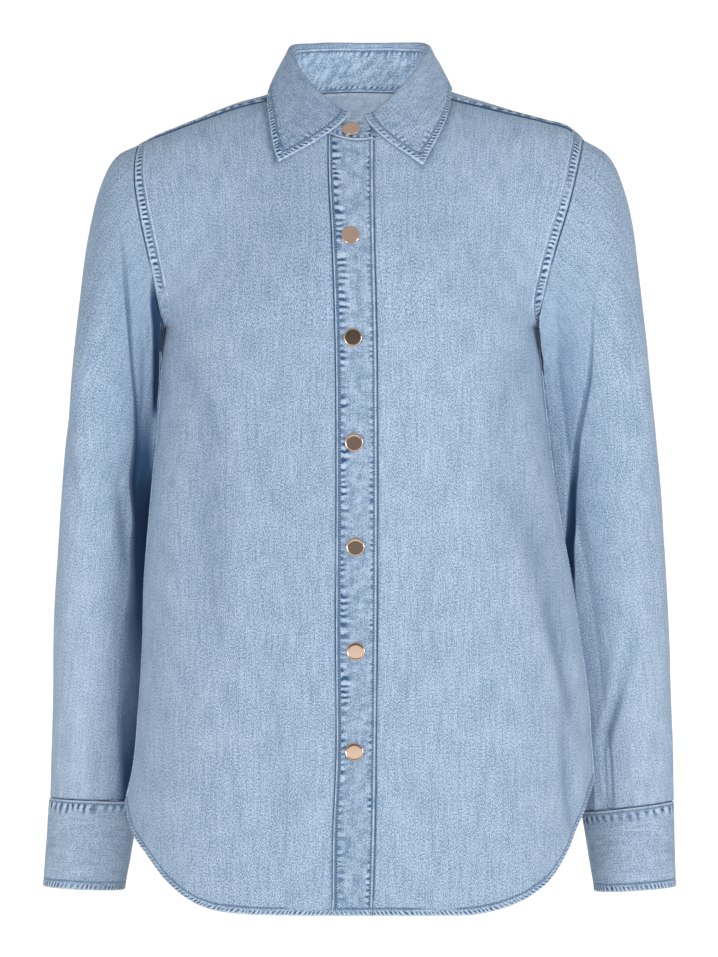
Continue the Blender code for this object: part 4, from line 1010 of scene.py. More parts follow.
def noise(tree, vector, scale, detail=2.0, roughness=0.5):
    """The value of a noise texture at a vector."""
    made = node(tree, "TexNoise", Scale=scale, Detail=detail, Roughness=roughness)
    tree.links.new(vector, made.inputs["Vector"])
    return made.outputs["Fac"]


def scaled(tree, vector, x, y, z=1.0, turn=0.0):
    """A vector stretched, and turned about its third axis."""
    made = node(tree, "Mapping")
    made.inputs["Scale"].default_value = (x, y, z)
    made.inputs["Rotation"].default_value = (0.0, 0.0, turn)
    tree.links.new(vector, made.inputs["Vector"])
    return made.outputs["Vector"]


def maths(tree, operation, a, b=0.0, c=0.0, clamp=False):
    """A number worked out from numbers or sockets."""
    made = node(tree, "Math", operation=operation, use_clamp=clamp)
    for socket, value in zip(made.inputs, (a, b, c)):
        if isinstance(value, (int, float)):
            socket.default_value = value
        else:
            tree.links.new(value, socket)
    return made.outputs[0]


def varied(tree, source, strength, base):
    """A number raised and lowered by a source whose middle is a half."""
    return maths(tree, "MULTIPLY_ADD", maths(tree, "SUBTRACT", source, 0.5), strength, base)


def blended(tree, factor, a, b):
    """Two colours mixed by a factor."""
    made = node(tree, "Mix", data_type="RGBA")
    for name, value in (("Factor", factor), ("A", a), ("B", b)):
        socket = [s for s in made.inputs if s.name == name and (s.type == "RGBA" or name == "Factor")][0]
        if isinstance(value, (int, float)):
            socket.default_value = value
        elif isinstance(value, tuple):
            socket.default_value = (*value, 1.0)[:4]
        else:
            tree.links.new(value, socket)
    return [s for s in made.outputs if s.type == "RGBA"][0]


def dyed(tree, base, wear, colours):
    """The base colour with dark dye where the wear is below 0, darker still below -1, and pale where it is
    above 0. Below 0 it is also painted shade, in the creases, the sleeves' tuck and cleft and beside the
    collar; above 0 it is also painted light on the lower sleeves."""
    furrowed = maths(tree, "MULTIPLY", wear, -1.0, clamp=True)
    rubbed = maths(tree, "MULTIPLY", wear, 0.8, clamp=True)
    # Below -1: painted shade of the sleeves' tuck, groove and cleft, and the deepest seam furrows
    deepest = maths(tree, "MULTIPLY_ADD", wear, -1.5, -1.5, clamp=True)
    base = blended(tree, furrowed, base, tuple(colours.indigo))
    base = blended(tree, deepest, base, tuple(0.6 * c for c in colours.indigo))
    return blended(tree, rubbed, base, tuple(colours.worn))


def puckered(tree, wear, crimp, phase, clouds):
    """The wear and painted shade with the cross puckers' bands: a flattened cosine of the phase, ragged by
    clouds, times their strength."""
    ragged = varied(tree, clouds, 0.9, phase)
    wave = maths(tree, "COSINE", maths(tree, "MULTIPLY", ragged, 2 * math.pi))
    wave = maths(tree, "MAXIMUM", maths(tree, "MINIMUM", maths(tree, "MULTIPLY", wave, 1.5), 1.0), -1.0)
    return maths(tree, "MULTIPLY_ADD", wave, crimp, wear)


def denim(tree, shader):
    """Washed light denim: a fine twill of blue warp over white weft, uneven yarns down the grain, blotches
    left by washing, dark dye in the furrows and pale wear on the ridges, and painted shade and painted light
    from the same attribute: in creases, the sleeves' tuck and cleft, beside the collar and in patches."""
    colours = bpy.context.scene.shirt_cloth
    grain = node(tree, "UVMap", uv_map="grain").outputs["UV"]
    wear, mottle, crimp, phase = (node(tree, "Attribute", attribute_name=name).outputs["Fac"]
                                  for name in ("wear", "mottle", "crimp", "phase"))
    speckle = noise(tree, scaled(tree, grain, 1.0, 0.8), 1000.0, 2.0, 0.6)
    streaks = noise(tree, scaled(tree, grain, 1.0, 0.05), 900.0, 2.0, 0.6)
    slubs = noise(tree, scaled(tree, grain, 1.0, 0.10), 260.0, 2.0, 0.5)
    blotches = noise(tree, grain, 42.0, 4.0, 0.6)
    clouds = noise(tree, grain, 125.0, 3.0, 0.6)
    bands = node(tree, "TexWave", wave_type="BANDS", bands_direction="X", Scale=1150.0 / 6.2832,
                 Distortion=1.2, Detail=1.0)
    tree.links.new(scaled(tree, grain, 1.0, 1.0, 1.0, math.radians(32)), bands.inputs["Vector"])
    twill = bands.outputs["Fac"]

    tone = 0.5
    for source, strength in ((speckle, 5.0), (streaks, 1.3), (slubs, 0.6), (blotches, 0.7), (twill, 0.3)):
        tone = varied(tree, source, strength, tone)
    mottled = maths(tree, "MULTIPLY", maths(tree, "SUBTRACT", clouds, 0.5), mottle)
    tone = maths(tree, "MULTIPLY_ADD", mottled, 3.6, tone, clamp=True)
    base = blended(tree, tone, tuple(colours.blue), tuple(colours.pale))
    base = dyed(tree, base, puckered(tree, wear, crimp, phase, clouds), colours)
    tree.links.new(base, shader.inputs["Base Color"])

    height = maths(tree, "MULTIPLY_ADD", speckle, 0.5, maths(tree, "MULTIPLY", twill, 0.35))
    height = maths(tree, "MULTIPLY_ADD", streaks, 0.4, height)
    bump = node(tree, "Bump", Strength=0.55, Distance=0.00022)
    tree.links.new(height, bump.inputs["Height"])
    tree.links.new(bump.outputs["Normal"], shader.inputs["Normal"])
    tree.links.new(maths(tree, "MULTIPLY_ADD", speckle, 0.14, 0.80), shader.inputs["Roughness"])
    shader.inputs["Specular IOR Level"].default_value = 0.18
    shader.inputs["Sheen Weight"].default_value = 0.12
    shader.inputs["Sheen Roughness"].default_value = 0.45
    shader.inputs["Sheen Tint"].default_value = (0.80, 0.88, 1.0, 1.0)


def thread(tree, shader):
    """Spun polyester sewing thread: two plies twisted together, seen as slanting bands."""
    place = node(tree, "TexCoord").outputs["Object"]
    plies = node(tree, "TexWave", wave_type="BANDS", bands_direction="DIAGONAL", Scale=520.0, Distortion=0.6)
    tree.links.new(place, plies.inputs["Vector"])
    fibres = noise(tree, place, 1800.0)
    twist = maths(tree, "MULTIPLY", plies.outputs["Fac"], 0.4)
    tone = maths(tree, "MULTIPLY_ADD", fibres, 0.6, twist, clamp=True)
    colour = tuple(bpy.context.scene.shirt_cloth.thread)
    tree.links.new(blended(tree, tone, tuple(0.62 * c for c in colour), colour), shader.inputs["Base Color"])
    shader.inputs["Roughness"].default_value = 0.6
    shader.inputs["Sheen Weight"].default_value = 0.2


def rose_gold(tree, shader):
    """Polished rose gold plate: finely brushed in roughness, with faint clouding."""
    settings = bpy.context.scene.shirt_metal
    place = node(tree, "TexCoord").outputs["Object"]
    cloud = noise(tree, place, 260.0, 3.0)
    fine = noise(tree, scaled(tree, place, 1.0, 1.0, 9.0), 900.0, 2.0)
    colour = tuple(settings.colour)
    paler = tuple(min(1.0, 1.08 * c) for c in colour)
    tree.links.new(blended(tree, cloud, colour, paler), shader.inputs["Base Color"])
    tree.links.new(maths(tree, "MULTIPLY_ADD", fine, 0.05, settings.roughness), shader.inputs["Roughness"])
    shader.inputs["Metallic"].default_value = 1.0


# ---------------------------------------------------------------- body pieces

HEM_ROWS, CHEST_ROWS, NECK_ROWS = 140, 44, 36


def front_grid(side, columns):
    """(shares across, rows) of a front panel, from the hem up to its shoulder seam."""
    x = side * front_edge(side, math.pi / 2 - NECK_FRONT)
    turns = np.linspace(abs(float(neck_turn_at(x))), YOKE_NECK_TURN, NECK_ROWS + 1)
    _, neck_share, over = neck_place(turns)
    neck_arch = math.pi - over
    below = np.linspace(-1, 0, HEM_ROWS + 1)[:-1]
    rows = np.concatenate([below, np.linspace(0, neck_arch[0], CHEST_ROWS + 1)[:-1], neck_arch])
    start = front_edge(side, rows) / half_width(side, rows)
    start[-len(turns):] = neck_share
    end_row = np.concatenate([below, front_seam_arch(1.0) * np.linspace(0, 1, CHEST_ROWS + NECK_ROWS + 1)])
    first = to_angle(start)[:, None]
    across = to_share(first + (math.pi / 2 - first) * crowded(columns))
    share = (across - across[:, :1]) / (1 - across[:, :1])
    return across, rows[:, None] + (end_row - rows)[:, None] * share


def body_form(side, face, across, row):
    """Points, normals and tint of a front or the back: the torso with its creases, the tint their painted
    shade, the right front lifted over the left one's band."""
    normals = torso_normals(side, face, across, row)
    form, tint = creased(torso(side, face, across, row), normals, face)
    if (side, face) == (RIGHT, FRONT):
        beyond = half_width(side, row) * across - front_edge(side, row)
        form = form + normals * ((LAYER_GAP + CLOTH) * (1 - smoothstep(beyond / LAP_BLEND)))[..., None]
    return form, normals, tint


def mirrored(right, left):
    """A grid whose columns run from the wearer's right, through the shared centre, to the left."""
    return np.concatenate([right[:, ::-1], left[:, 1:]], axis=1)


ALL_EDGES = ("first_row", "last_row", "first_column", "last_column")
HEM_INSET = 0.0012  # from the hem band's edge to the panel's
PLAIN_MOTTLE = 0.08  # of the single cloth


def front_panel(side):
    """A front, from its hem to the shoulder seam and from its band to the side seam and the armhole."""
    across, rows = front_grid(side, 54)
    form, normals, tint = body_form(side, FRONT, across, rows)
    form = pulled_back(form, ("first_column", "last_column", "last_row"))
    form = pulled_back(form, ("first_row",), HEM_INSET)
    relief = unevenness(lengths(form, 0), lengths(form, 1), seed=11 + side)
    # The crease tint is painted shade, the patches are painted light and shade, and beside the collar is a
    # painted shadow
    wear = tint + washed(side, form) + beside_collar(form)
    seams = ("last_column", "last_row") + (("first_column",) if side == RIGHT else ())
    return panel("front_" + side_name(side), form, normals, CLOTH, PLAIN._replace(relief=relief, wear=wear),
                 mottle=PLAIN_MOTTLE, rounded=ALL_EDGES, seams=seams, start=np.abs(form[:, :1, 0]))


def yoke_shares(columns):
    """Shares across of the yoke's columns on its front edge and its back seam, from the centre outwards, and
    the neckline angles of the first of them."""
    way = 1 - np.linspace(1, 0, columns // 2 + 1) ** 1.25
    turns = 180 - (180 - YOKE_NECK_TURN) * way
    neck = neck_place(turns)[1]
    outward = np.linspace(0, 1, columns - columns // 2 + 1)
    first, corner = to_angle(neck[-1]), to_angle(YOKE_NECK_COLUMN)
    front = np.concatenate([neck[:-1], to_share(first + (math.pi / 2 - first) * outward)])
    middle = to_share(corner * np.linspace(0, 1, columns // 2 + 1)[:-1])
    back = np.concatenate([middle, to_share(corner + (math.pi / 2 - corner) * outward)])
    return front, back, turns


def yoke_panel():
    """The yoke: one piece over both shoulders and round the back of the neck."""
    front, back, turns = yoke_shares(80)
    over = neck_place(turns[:-1])[2]
    top = np.concatenate([over, math.pi - front_seam_arch(front[len(over):])])
    climb = crowded(46)[:, None]
    seam = back_seam_arch(back)
    across, turn = back + (front - back) * climb, seam + (top - seam) * climb
    form = raised(mirrored(*[over_shoulder(side, across, turn) for side in SIDES]))
    normals = mirrored(*[shoulder_normals(side, across, turn) for side in SIDES])
    form = pulled_back(form, ALL_EDGES)
    # Beside the collar's edge, on the front of the yoke, a painted shadow
    sewn = PLAIN._replace(relief=unevenness(lengths(form, 0), lengths(form, 1), seed=31),
                          wear=beside_collar(form) * (form[..., 1] < 0.01))
    middle = form.shape[1] // 2
    return panel("yoke", form, normals, CLOTH, sewn, mottle=(PLAIN_MOTTLE, 1.0), rounded=ALL_EDGES,
                 seams=ALL_EDGES, turned=True, reverse=PLAIN._replace(wear=0.55),
                 start=-lengths(form, 1)[:, middle:middle + 1])


def back_panel():
    """The back, from the hem to the yoke."""
    shares = yoke_shares(52)[1]
    shares = np.sort(np.concatenate([shares, [1 - 4e-4, 1 - 4e-5]]))
    below = np.repeat(np.linspace(-1, 0, HEM_ROWS + 1)[:-1, None], len(shares), axis=1)
    climb = np.sort(np.concatenate([np.linspace(0, 1, 40), [0.993, 0.998]]))[:, None]
    rows = np.concatenate([below, back_seam_arch(shares) * climb])
    even = to_share(math.pi / 2 * crowded(len(shares) - 5))
    across = even + (shares - even) * smoothstep(1 + rows / 0.2)
    halves = [body_form(side, BACK, across, rows) for side in SIDES]
    form, normals, tint = (mirrored(*pair) for pair in zip(*halves))
    form = pulled_back(form, ("last_row", "first_column", "last_column"))
    form = pulled_back(form, ("first_row",), HEM_INSET)
    relief = unevenness(lengths(form, 0), lengths(form, 1), seed=21)
    middle = form.shape[1] // 2
    # The tint is the creases' painted shade
    return panel("back", form, normals, CLOTH, PLAIN._replace(relief=relief, wear=tint), mottle=PLAIN_MOTTLE,
                 rounded=ALL_EDGES, seams=("last_row", "first_column", "last_column"),
                 start=-lengths(form, 1)[:, middle:middle + 1])


def band_strip(first, last, rows, shares):
    """The torso's form and normals between two x positions near the centre front. Both are functions of the
    row, and rows above the underarm level are shares of the way to the neckline."""
    rows = rows[:, None]
    arches = np.where(rows < 0, rows, rows * (math.pi / 2 - NECK_FRONT))
    x = first(arches) + (last(arches) - first(arches)) * shares
    top = math.pi - neck_place(neck_turn_at(x[-1]))[2]
    arches = np.where(rows < 0, rows, rows * top)
    side = np.where(x < 0, RIGHT, LEFT)
    across = np.abs(x) / half_width(side, arches)
    on_right = (side == RIGHT)[..., None]
    return tuple(np.where(on_right, *[form(s, FRONT, across, arches) for s in SIDES])
                 for form in (torso, torso_normals))


def band_rows(count):
    """Rows of a button band, from -1 at the hem to 1 at the neck, with two more close to the hem and to the
    neck."""
    above = round(count * 0.24)
    rows = np.concatenate([np.linspace(-1, 0, count - above + 1)[:-1], np.linspace(0, 1, above + 1)])
    return np.sort(np.concatenate([rows, rows[0] + np.array([0.0005, 0.0014]), [0.997, 0.999]]))


def top_band():
    """The band down the wearer's right front, on top, and its lines of stitching: puckered along its seam,
    stitched along both edges and blotched between."""
    form, normals = band_strip(lambda row: band_edge("seam", row), lambda row: band_edge("free", row),
                               band_rows(440), crowded(44))
    form = pulled_back(form, ("first_column", "last_row"))
    along, seam, free = lengths(form, 0), from_edge(form, "first_column"), from_edge(form, "last_column")
    sewn = either(seam < free, sewn_margin(BAND_SEAM, seam, along, seed=41),
                  sewn_margin(BAND_FREE, free, along, seed=44))
    # A dark line 1.5 mm in from the seam, with no relief: painted shade of a fold
    crease = 0.8 * np.exp(-(((seam - 0.0015) / 0.0005) ** 2))
    relief = sewn.relief + lumps(seam, along, 0.009, seed=45) * 0.00028
    sewn = sewn._replace(relief=relief, wear=sewn.wear - crease - 0.14)
    sewn = either(along < TURNED_HEM.stitch + 0.001, sewn_margin(TURNED_HEM, along, seam, seed=47), sewn)
    middle = smoothstep((seam - 0.003) / 0.004)
    made = panel("placket_right", form + normals * (LAYER_GAP + DOUBLED), normals, DOUBLED, sewn,
                 lining=-0.3 * sewn.relief, mottle=0.4 + 0.3 * middle, rounded=ALL_EDGES)
    return made, [column_line(made, seam, BAND_SEAM.stitch), column_line(made, free, BAND_FREE.stitch),
                  row_line(made, along, TURNED_HEM.stitch)]


def under_band():
    """The band of the wearer's left front, under the right one: its seam shows just beyond the free edge."""
    form, normals = band_strip(lambda row: band_edge("seam", row) + UNDER_INSET,
                               lambda row: band_edge("free", row) + UNDER_SHIFT, band_rows(200), crowded(14))
    form = pulled_back(form, ("last_column", "last_row"))
    return panel("placket_left", form, normals, DOUBLED, mottle=0.4, rounded=ALL_EDGES,
                 seams=("last_column",))


# ---------------------------------------------------------------- sleeves


def ring(values, angles):
    """A sleeve ring: an ellipse across the line from its inner to its outer point, leaning so that its front
    half moves outwards."""
    centre_x = (values["outer_x"] + values["inner_x"]) / 2
    centre_z = (values["outer_z"] + values["inner_z"]) / 2
    run_x = values["outer_x"] - values["inner_x"]
    run_z = values["outer_z"] - values["inner_z"]
    length = np.hypot(run_x, run_z)
    lean = values.get("lean", 0.0)
    reach = -np.sqrt((length / 2) ** 2 - lean**2) * np.cos(angles) + lean * np.sin(angles)
    y = values["middle"] - values["half"] * np.sin(angles)
    return stack(centre_x + reach * run_x / length, y, centre_z + reach * run_z / length)


def sleeve_fold(side, points, station, angles):
    """Depth of the broad trough down the sleeve's front: a bell across it, by shares of the sleeve's
    width."""
    fold, height = SLEEVE_FOLD[side], points[..., 2]
    share, width, depth = (lookup(fold, "height", name, height) for name in ("share", "width", "depth"))
    aside = ((1 - np.cos(angles)) / 2 - share) / width
    return depth * np.exp(-(aside**2)) * smoothstep(np.sin(angles) / 0.5) * smoothstep(station / 3)


def sleeve_creases(side, height, angles):
    """Depth of the smaller creases, laid out on a sleeve of an even radius."""
    depth = np.zeros_like(height)
    for crease in rows_where(SLEEVE_CREASES, "side", side):
        start, end = math.radians(crease["from_turn"]), math.radians(crease["to_turn"])
        run = np.array([(end - start) * SLEEVE_RADIUS, crease["to_z"] - crease["from_z"]])
        u = ((angles - start + math.pi) % (2 * math.pi) - math.pi) * SLEEVE_RADIUS
        depth += fold_depth(u, height - crease["from_z"], run, crease)
    return depth


def sleeve_form(side, station, angles):
    """The sleeve's points and tint at stations from 0 at the armhole to the table's last row at the cuff
    seam: rings that start on the armhole seam, with the broad trough, the tuck and the smaller creases
    pressed in. The tint is painted shade in the tuck, the cleft and the creases."""
    rows = SLEEVE[side]
    numbered = {**rows, "station": np.arange(len(rows["bow"]), dtype=float)}
    values = {name: lookup(numbered, "station", name, station) for name in rows}
    first = {name: rows[name][0] for name in rows}
    armhole = over_shoulder(side, np.ones_like(angles), math.pi - angles / 2) * [side, 1, 1]
    points = ring(values, angles) + (armhole - ring(first, angles)) * values["bow"][..., None]
    height = points[..., 2]
    points[..., 1] += sleeve_fold(side, points, station, angles)
    points, tint = tucked(side, filled_out(side, points, values, angles), angles)
    centre = stack((values["outer_x"] + values["inner_x"]) / 2, values["middle"],
                   (values["outer_z"] + values["inner_z"]) / 2)
    pressed = sleeve_creases(side, height, angles)
    points = points + unit(centre - points) * (pressed * np.minimum(values["half"] / 0.03, 1))[..., None]
    return points * [side, 1, 1], tint - SLEEVE_CREASE_SHADE * pressed


def filled_out(side, points, values, angles):
    """The sleeve's points with its inner front corner filled out beside the body. The ring leans a little
    nearer to the body below the armhole. From a line 16 mm outside the body's edge its front runs straight
    in at a slope of 0.4, and turns back beside the edge."""
    height = points[..., 2]
    nearer = 0.0022 * np.exp(-(((height + 0.235) / 0.045) ** 2)) * smoothstep(np.cos(angles))
    x = points[..., 0] - nearer
    edge = lookup(BODY, "height", side_name(side), height)
    corner = np.maximum(edge + 0.016, values["inner_x"] + 0.004)
    length = np.hypot(values["outer_x"] - values["inner_x"], values["outer_z"] - values["inner_z"])
    middle, run = (values["outer_x"] + values["inner_x"]) / 2, values["outer_x"] - values["inner_x"]
    turn = np.arccos(np.clip(2 * (middle - corner) / run, -1, 1)) - np.arcsin(2 * values["lean"] / length)
    level = values["middle"] - values["half"] * np.sin(turn) + 0.4 * (corner - x)
    share = smoothstep((-0.150 - height) / 0.05) * smoothstep((height - FILLED_TO[side]) / 0.04)
    share = share * smoothstep((x - edge - 0.0003) / 0.0006) * smoothstep((corner - x) / 0.004)
    forward = np.minimum(level - points[..., 1], 0) * share * (np.sin(angles) > 0)
    return stack(x, points[..., 1] + forward, height)


def tucked(side, points, angles):
    """The sleeve with its long front tuck, and its tint: inside a line down the front the cloth is set back
    by a smooth step, and a groove with a sharp outer side follows the line. Below the armhole a cleft parts
    the right sleeve from the body. The tint is painted shade, in the set-back cloth, the groove and the
    cleft."""
    x, height = points[..., 0], points[..., 2]
    front = smoothstep(np.sin(angles) / 0.3)
    tuck = dict(EVEN_TUCK)
    for rows in (SLEEVE_TUCK[side], SLEEVE_GROOVE[side]):
        tuck.update({name: lookup(rows, "height", name, height) for name in rows})
    beyond = tuck["line"] - x
    inside = smoothstep(beyond / tuck["ramp"]) * front
    sharp = 0.0015 + 0.0012 * smoothstep(1 - tuck["groove"] / 0.0060)
    along = smoothstep(beyond / sharp) * (1 - smoothstep((beyond - tuck["wide"]) / tuck["fade"])) * front
    back = tuck["step"] * inside + tuck["groove"] * along
    shade = tuck["tint"] * inside + tuck["dark"] * along
    if side == RIGHT:
        centre, depth, half = (lookup(CLEFT, "height", name, height) for name in ("line", "depth", "half"))
        inner = (np.cos(angles) > 0) * smoothstep(np.sin(angles) / 0.2 + 0.5)
        cleft = np.exp(-(((x - centre) / half) ** 6)) * inner
        back, shade = back + depth * cleft, shade + np.clip(depth / 0.009, 0, 1) * 1.5 * cleft
    return points + stack(0.0, back, 0.0), -shade


def sleeve_rows(count):
    """Rows of a sleeve in steps of its table, from 0 at the shoulder, closer together towards the
    shoulder."""
    return (len(SLEEVE[RIGHT]["bow"]) - 1) * crowded(count) ** 1.12


def sleeve_grid(side, rows, front, rest):
    """The sleeve's points, tints (painted shade) and angles on a grid. Round the front its columns are
    evenly spaced along the cloth, up to three times as close beside the tuck; round the rest they are at
    even angles."""
    station = sleeve_rows(rows)[:, None]

    def made_at(degrees):
        turn = np.radians(degrees)[None, :]
        points, tint = sleeve_form(side, station, turn)
        return np.concatenate([points, tint[..., None], turn[..., None] + 0 * points[..., :1]], axis=-1)

    near = made_at(np.linspace(0, 110, 12 * front + 1))
    line = lookup(SLEEVE_TUCK[side], "height", "line", near[..., 2])
    bell = np.exp(-(((np.abs(near[..., 0]) - line + 0.001) / 0.006) ** 2))
    reach = np.linalg.norm(np.diff(near[..., :3], axis=1), axis=-1)
    reach = reach * (1 + 1.2 * (bell[:, 1:] + bell[:, :-1]))
    run = np.concatenate([np.zeros_like(reach[:, :1]), np.cumsum(reach, axis=1)], axis=1)
    places = np.array([np.interp(np.linspace(0, r[-1], front + 1)[:-1], r, np.arange(r.size)) for r in run])
    near = sampled(near, np.arange(len(places))[:, None] + 0 * places, places)
    grid = np.concatenate([near, made_at(np.linspace(110, 360, rest + 1)[:-1])], axis=1)
    return grid[..., :3], grid[..., 3], grid[..., 4]


def sleeve_panel(side):
    """One sleeve: a tube from the armhole seam to the cuff seam, gathered into the cuff."""
    form, tint, angles = sleeve_grid(side, 152, 92, 56)
    form = pulled_back(form, ("first_row", "last_row"), SEAM_GAP)
    along = lengths(form, 0)
    gathers = smoothstep(1 - from_edge(form, "last_row") / 0.022)
    gathers = gathers * np.cos(16 * angles + 1.5 * np.sin(3 * angles))
    relief = unevenness(along, np.sin(angles) * SLEEVE_RADIUS + 0.3 * along, seed=51 + side)
    relief = relief + 0.0005 * gathers
    bead = np.exp(-((from_edge(form, "first_row") / 0.0015) ** 2))
    # The tint is painted shade of the tuck, cleft and creases, and the patches are painted light and shade
    wear = tint + washed(side, form) + 0.15 * gathers + 0.4 * bead
    return panel("sleeve_" + side_name(side), form, form - form.mean(axis=1, keepdims=True), CLOTH,
                 PLAIN._replace(relief=relief, wear=wear), mottle=PLAIN_MOTTLE,
                 rounded=("first_row", "last_row"), seams=("last_row",), closed=True)


def cuff_form(side, share, angles):
    """The cuff's form, between the cuff seam and its lower edge."""
    end = CUFF_END[side]
    top = {name: SLEEVE[side][name][-1] for name in end}
    values = {name: top[name] + (end[name][0] - top[name]) * share for name in end}
    return ring(values, angles) * [side, 1, 1]


def cuff_panel(side):
    """A band round the wrist, whose outer end laps over its inner end at the back, and its lines of
    stitching. Its top seam is puckered, its lower edge roped and stitched."""
    sweep = (2 * math.pi + CUFF_LAP) * crowded(190)[None, :]
    inset = (CUFF_WALL + LAYER_GAP) * (1 - smoothstep(sweep / CUFF_LAP - 1))
    form = cuff_form(side, crowded(54)[:, None], CUFF_LAP_AT + sweep)
    like = form - form.mean(axis=1, keepdims=True)
    normals = grid_normals(form, like)
    form = pulled_back(form, ("first_row",), SEAM_GAP) + normals * (CUFF_RISE - inset)[..., None]
    top, low, along = from_edge(form, "first_row"), from_edge(form, "last_row"), lengths(form, 1)
    free = from_edge(form, "last_column")
    seed = 61 + 10 * side
    sewn = either(top < 2 * low, sewn_margin(CUFF_TOP, top, along, seed),
                  sewn_margin(CUFF_HEM, low, along, seed + 3))
    at_end = (free < COLLAR_EDGE.stitch + 0.0005) & (low > free)
    sewn = either(at_end, sewn_margin(COLLAR_EDGE, free, top, seed + 6), sewn)
    sewn = sewn._replace(relief=sewn.relief + lumps(along, top, 0.010, seed + 5) * 0.0002,
                         wear=sewn.wear + CUFF_PALER[side])
    made = panel("cuff_" + side_name(side), form, like, CUFF_WALL, sewn, mottle=0.35, rounded=ALL_EDGES,
                 turned=True, radius=0.0012)
    return made, [row_line(made, top, CUFF_TOP.stitch), row_line(made, low, CUFF_HEM.stitch),
                  column_line(made, free, COLLAR_EDGE.stitch)]


# ---------------------------------------------------------------- collar


def around(turn):
    """Degrees from the centre front, 0 to 180, on either side."""
    return np.abs((np.asarray(turn, float) + 180) % 360 - 180)


def lap_lift(turns):
    """How far the stand's right end is lifted over its left end."""
    return (DOUBLED + 2 * LAYER_GAP) * (1 - smoothstep(np.asarray(turns, float) / 60.0))


def collar_frame(turns):
    """For each angle round the neck: the neckline point, the direction out of the neck and the direction in
    which the stand rises."""
    a = np.radians(np.asarray(turns, float))
    lean = np.radians(lookup(STAND, "turn", "lean", around(turns)))[:, None]
    level, up = stack(-np.sin(a), -np.cos(a), 0.0), np.array([0.0, 0.0, 1.0])
    out, rise = level * np.cos(lean) + up * np.sin(lean), up * np.cos(lean) - level * np.sin(lean)
    return neck_line(turns), out, rise


def stand_panel():
    """The band that stands round the neck and closes with the top cap, and its lines of stitching. Inside,
    below its top stitching, it is strongly puckered."""
    turns = STAND_ENDS[0] + (STAND_ENDS[1] - STAND_ENDS[0]) * crowded(330)
    base, out, rise = collar_frame(turns)
    height = lookup(STAND, "turn", "height", around(turns))
    corner = np.clip(1 - np.minimum(turns - turns[0], turns[-1] - turns) / STAND_ROUNDING, 0, 1)
    height = height * (1 - 0.45 * (1 - np.sqrt(1 - corner**2)))
    levels = crowded(30)[:, None] * height + SEAM_GAP * 2
    form = base + rise * levels[..., None] + out * (lap_lift(turns) + 0.0002)[:, None]
    low, top, along = from_edge(form, "first_row"), from_edge(form, "last_row"), lengths(form, 1)
    ends = np.minimum(from_edge(form, "first_column"), from_edge(form, "last_column"))
    sewn = either(ends < low, sewn_margin(STAND_EDGE, ends, low, seed=71),
                  sewn_margin(STAND_EDGE, low, along, seed=74))
    inside = either(low < 0.006, sewn_margin(STAND_EDGE, low, along, seed=80),
                    sewn_margin(STAND_INSIDE, top, along, seed=77))
    inside = inside._replace(relief=inside.relief + lumps(along, low, 0.010, seed=83) * 0.0004,
                             wear=inside.wear - 0.02)
    made = panel("collar_stand", form, np.broadcast_to(out, form.shape), DOUBLED, sewn, lining=inside.relief,
                 reverse=inside, mottle=1.0, rounded=ALL_EDGES, turned=True)
    reverse = form - made.normals * (DOUBLED + inside.relief)[..., None]
    back = made._replace(points=reverse, normals=-made.normals)
    return made, [row_line(made, low, STAND_EDGE.stitch), row_line(back, top, STAND_INSIDE.stitch),
                  row_line(back, low, STAND_EDGE.stitch)]


def leaf_edge(turns):
    """Points of the collar leaf's outer edge, lifted off the shoulders and the chest, higher over the
    shoulder's ridge and towards its tips."""
    half = around(turns)
    side = np.where(turns % 360 <= 180, RIGHT, LEFT)
    face = np.where(half < 88, FRONT, BACK)
    x, z = by_side(side, LEAF, "turn", "{}_x", half), by_side(side, LEAF, "turn", "{}_z", half)
    arch = np.full(len(turns), math.radians(60))
    for _ in range(4):
        share = x / half_width(side, arch)
        arch = arch_at(side, face, share, z)
    over = np.where(face == BACK, arch, math.pi - arch)
    lift = DOUBLED + 0.0013 + LEAF_LIFT * np.exp(-(((half - 88) / 25) ** 2))
    lift = lift + smoothstep(1 - half / 40) * np.where(side == LEFT, 0.0022, 0.0010)
    return over_shoulder(side, share, over) + shoulder_normals(side, share, over) * lift[:, None]


def leaf_form():
    """The turned-down collar, up from the stand, over the roll and down to its outer edge, with directions
    that its normals are turned to and the angles of its columns. The roll is a smooth line through its
    table, and the fall a quadratic curve from the roll to the edge."""
    turns = LEAF_ENDS[0] + (LEAF_ENDS[1] - LEAF_ENDS[0]) * crowded(330)
    base, out, rise = collar_frame(turns)
    lift = lap_lift(turns)[:, None]
    height = lookup(STAND, "turn", "height", around(turns)) + LEAF_GAP
    top = base + rise * height[:, None] + out * lift
    steps = np.linspace(0, 4, 13)
    roll = [lookup(LEAF_ROLL, "step", name, steps)[:, None, None] for name in ("out", "rise")]
    edge = leaf_edge(turns)
    down = unit(edge - base)
    start = top + out * LEAF_ROLL["out"][-1]
    front = 1 - smoothstep((around(turns) - 20) / 30)[:, None]
    control = base + out * (0.0068 + 0.0015 * front + lift) + rise * 0.004 + down * 0.004
    share = crowded(52)[4:, None, None]
    fall = (1 - share) ** 2 * start + 2 * share * (1 - share) * control + share**2 * edge
    form = np.concatenate([top + out * roll[0] + rise * roll[1], fall])
    like = np.concatenate([np.broadcast_to(rise, (len(steps), *rise.shape)),
                           np.broadcast_to(out, fall.shape)])
    return form, like, turns


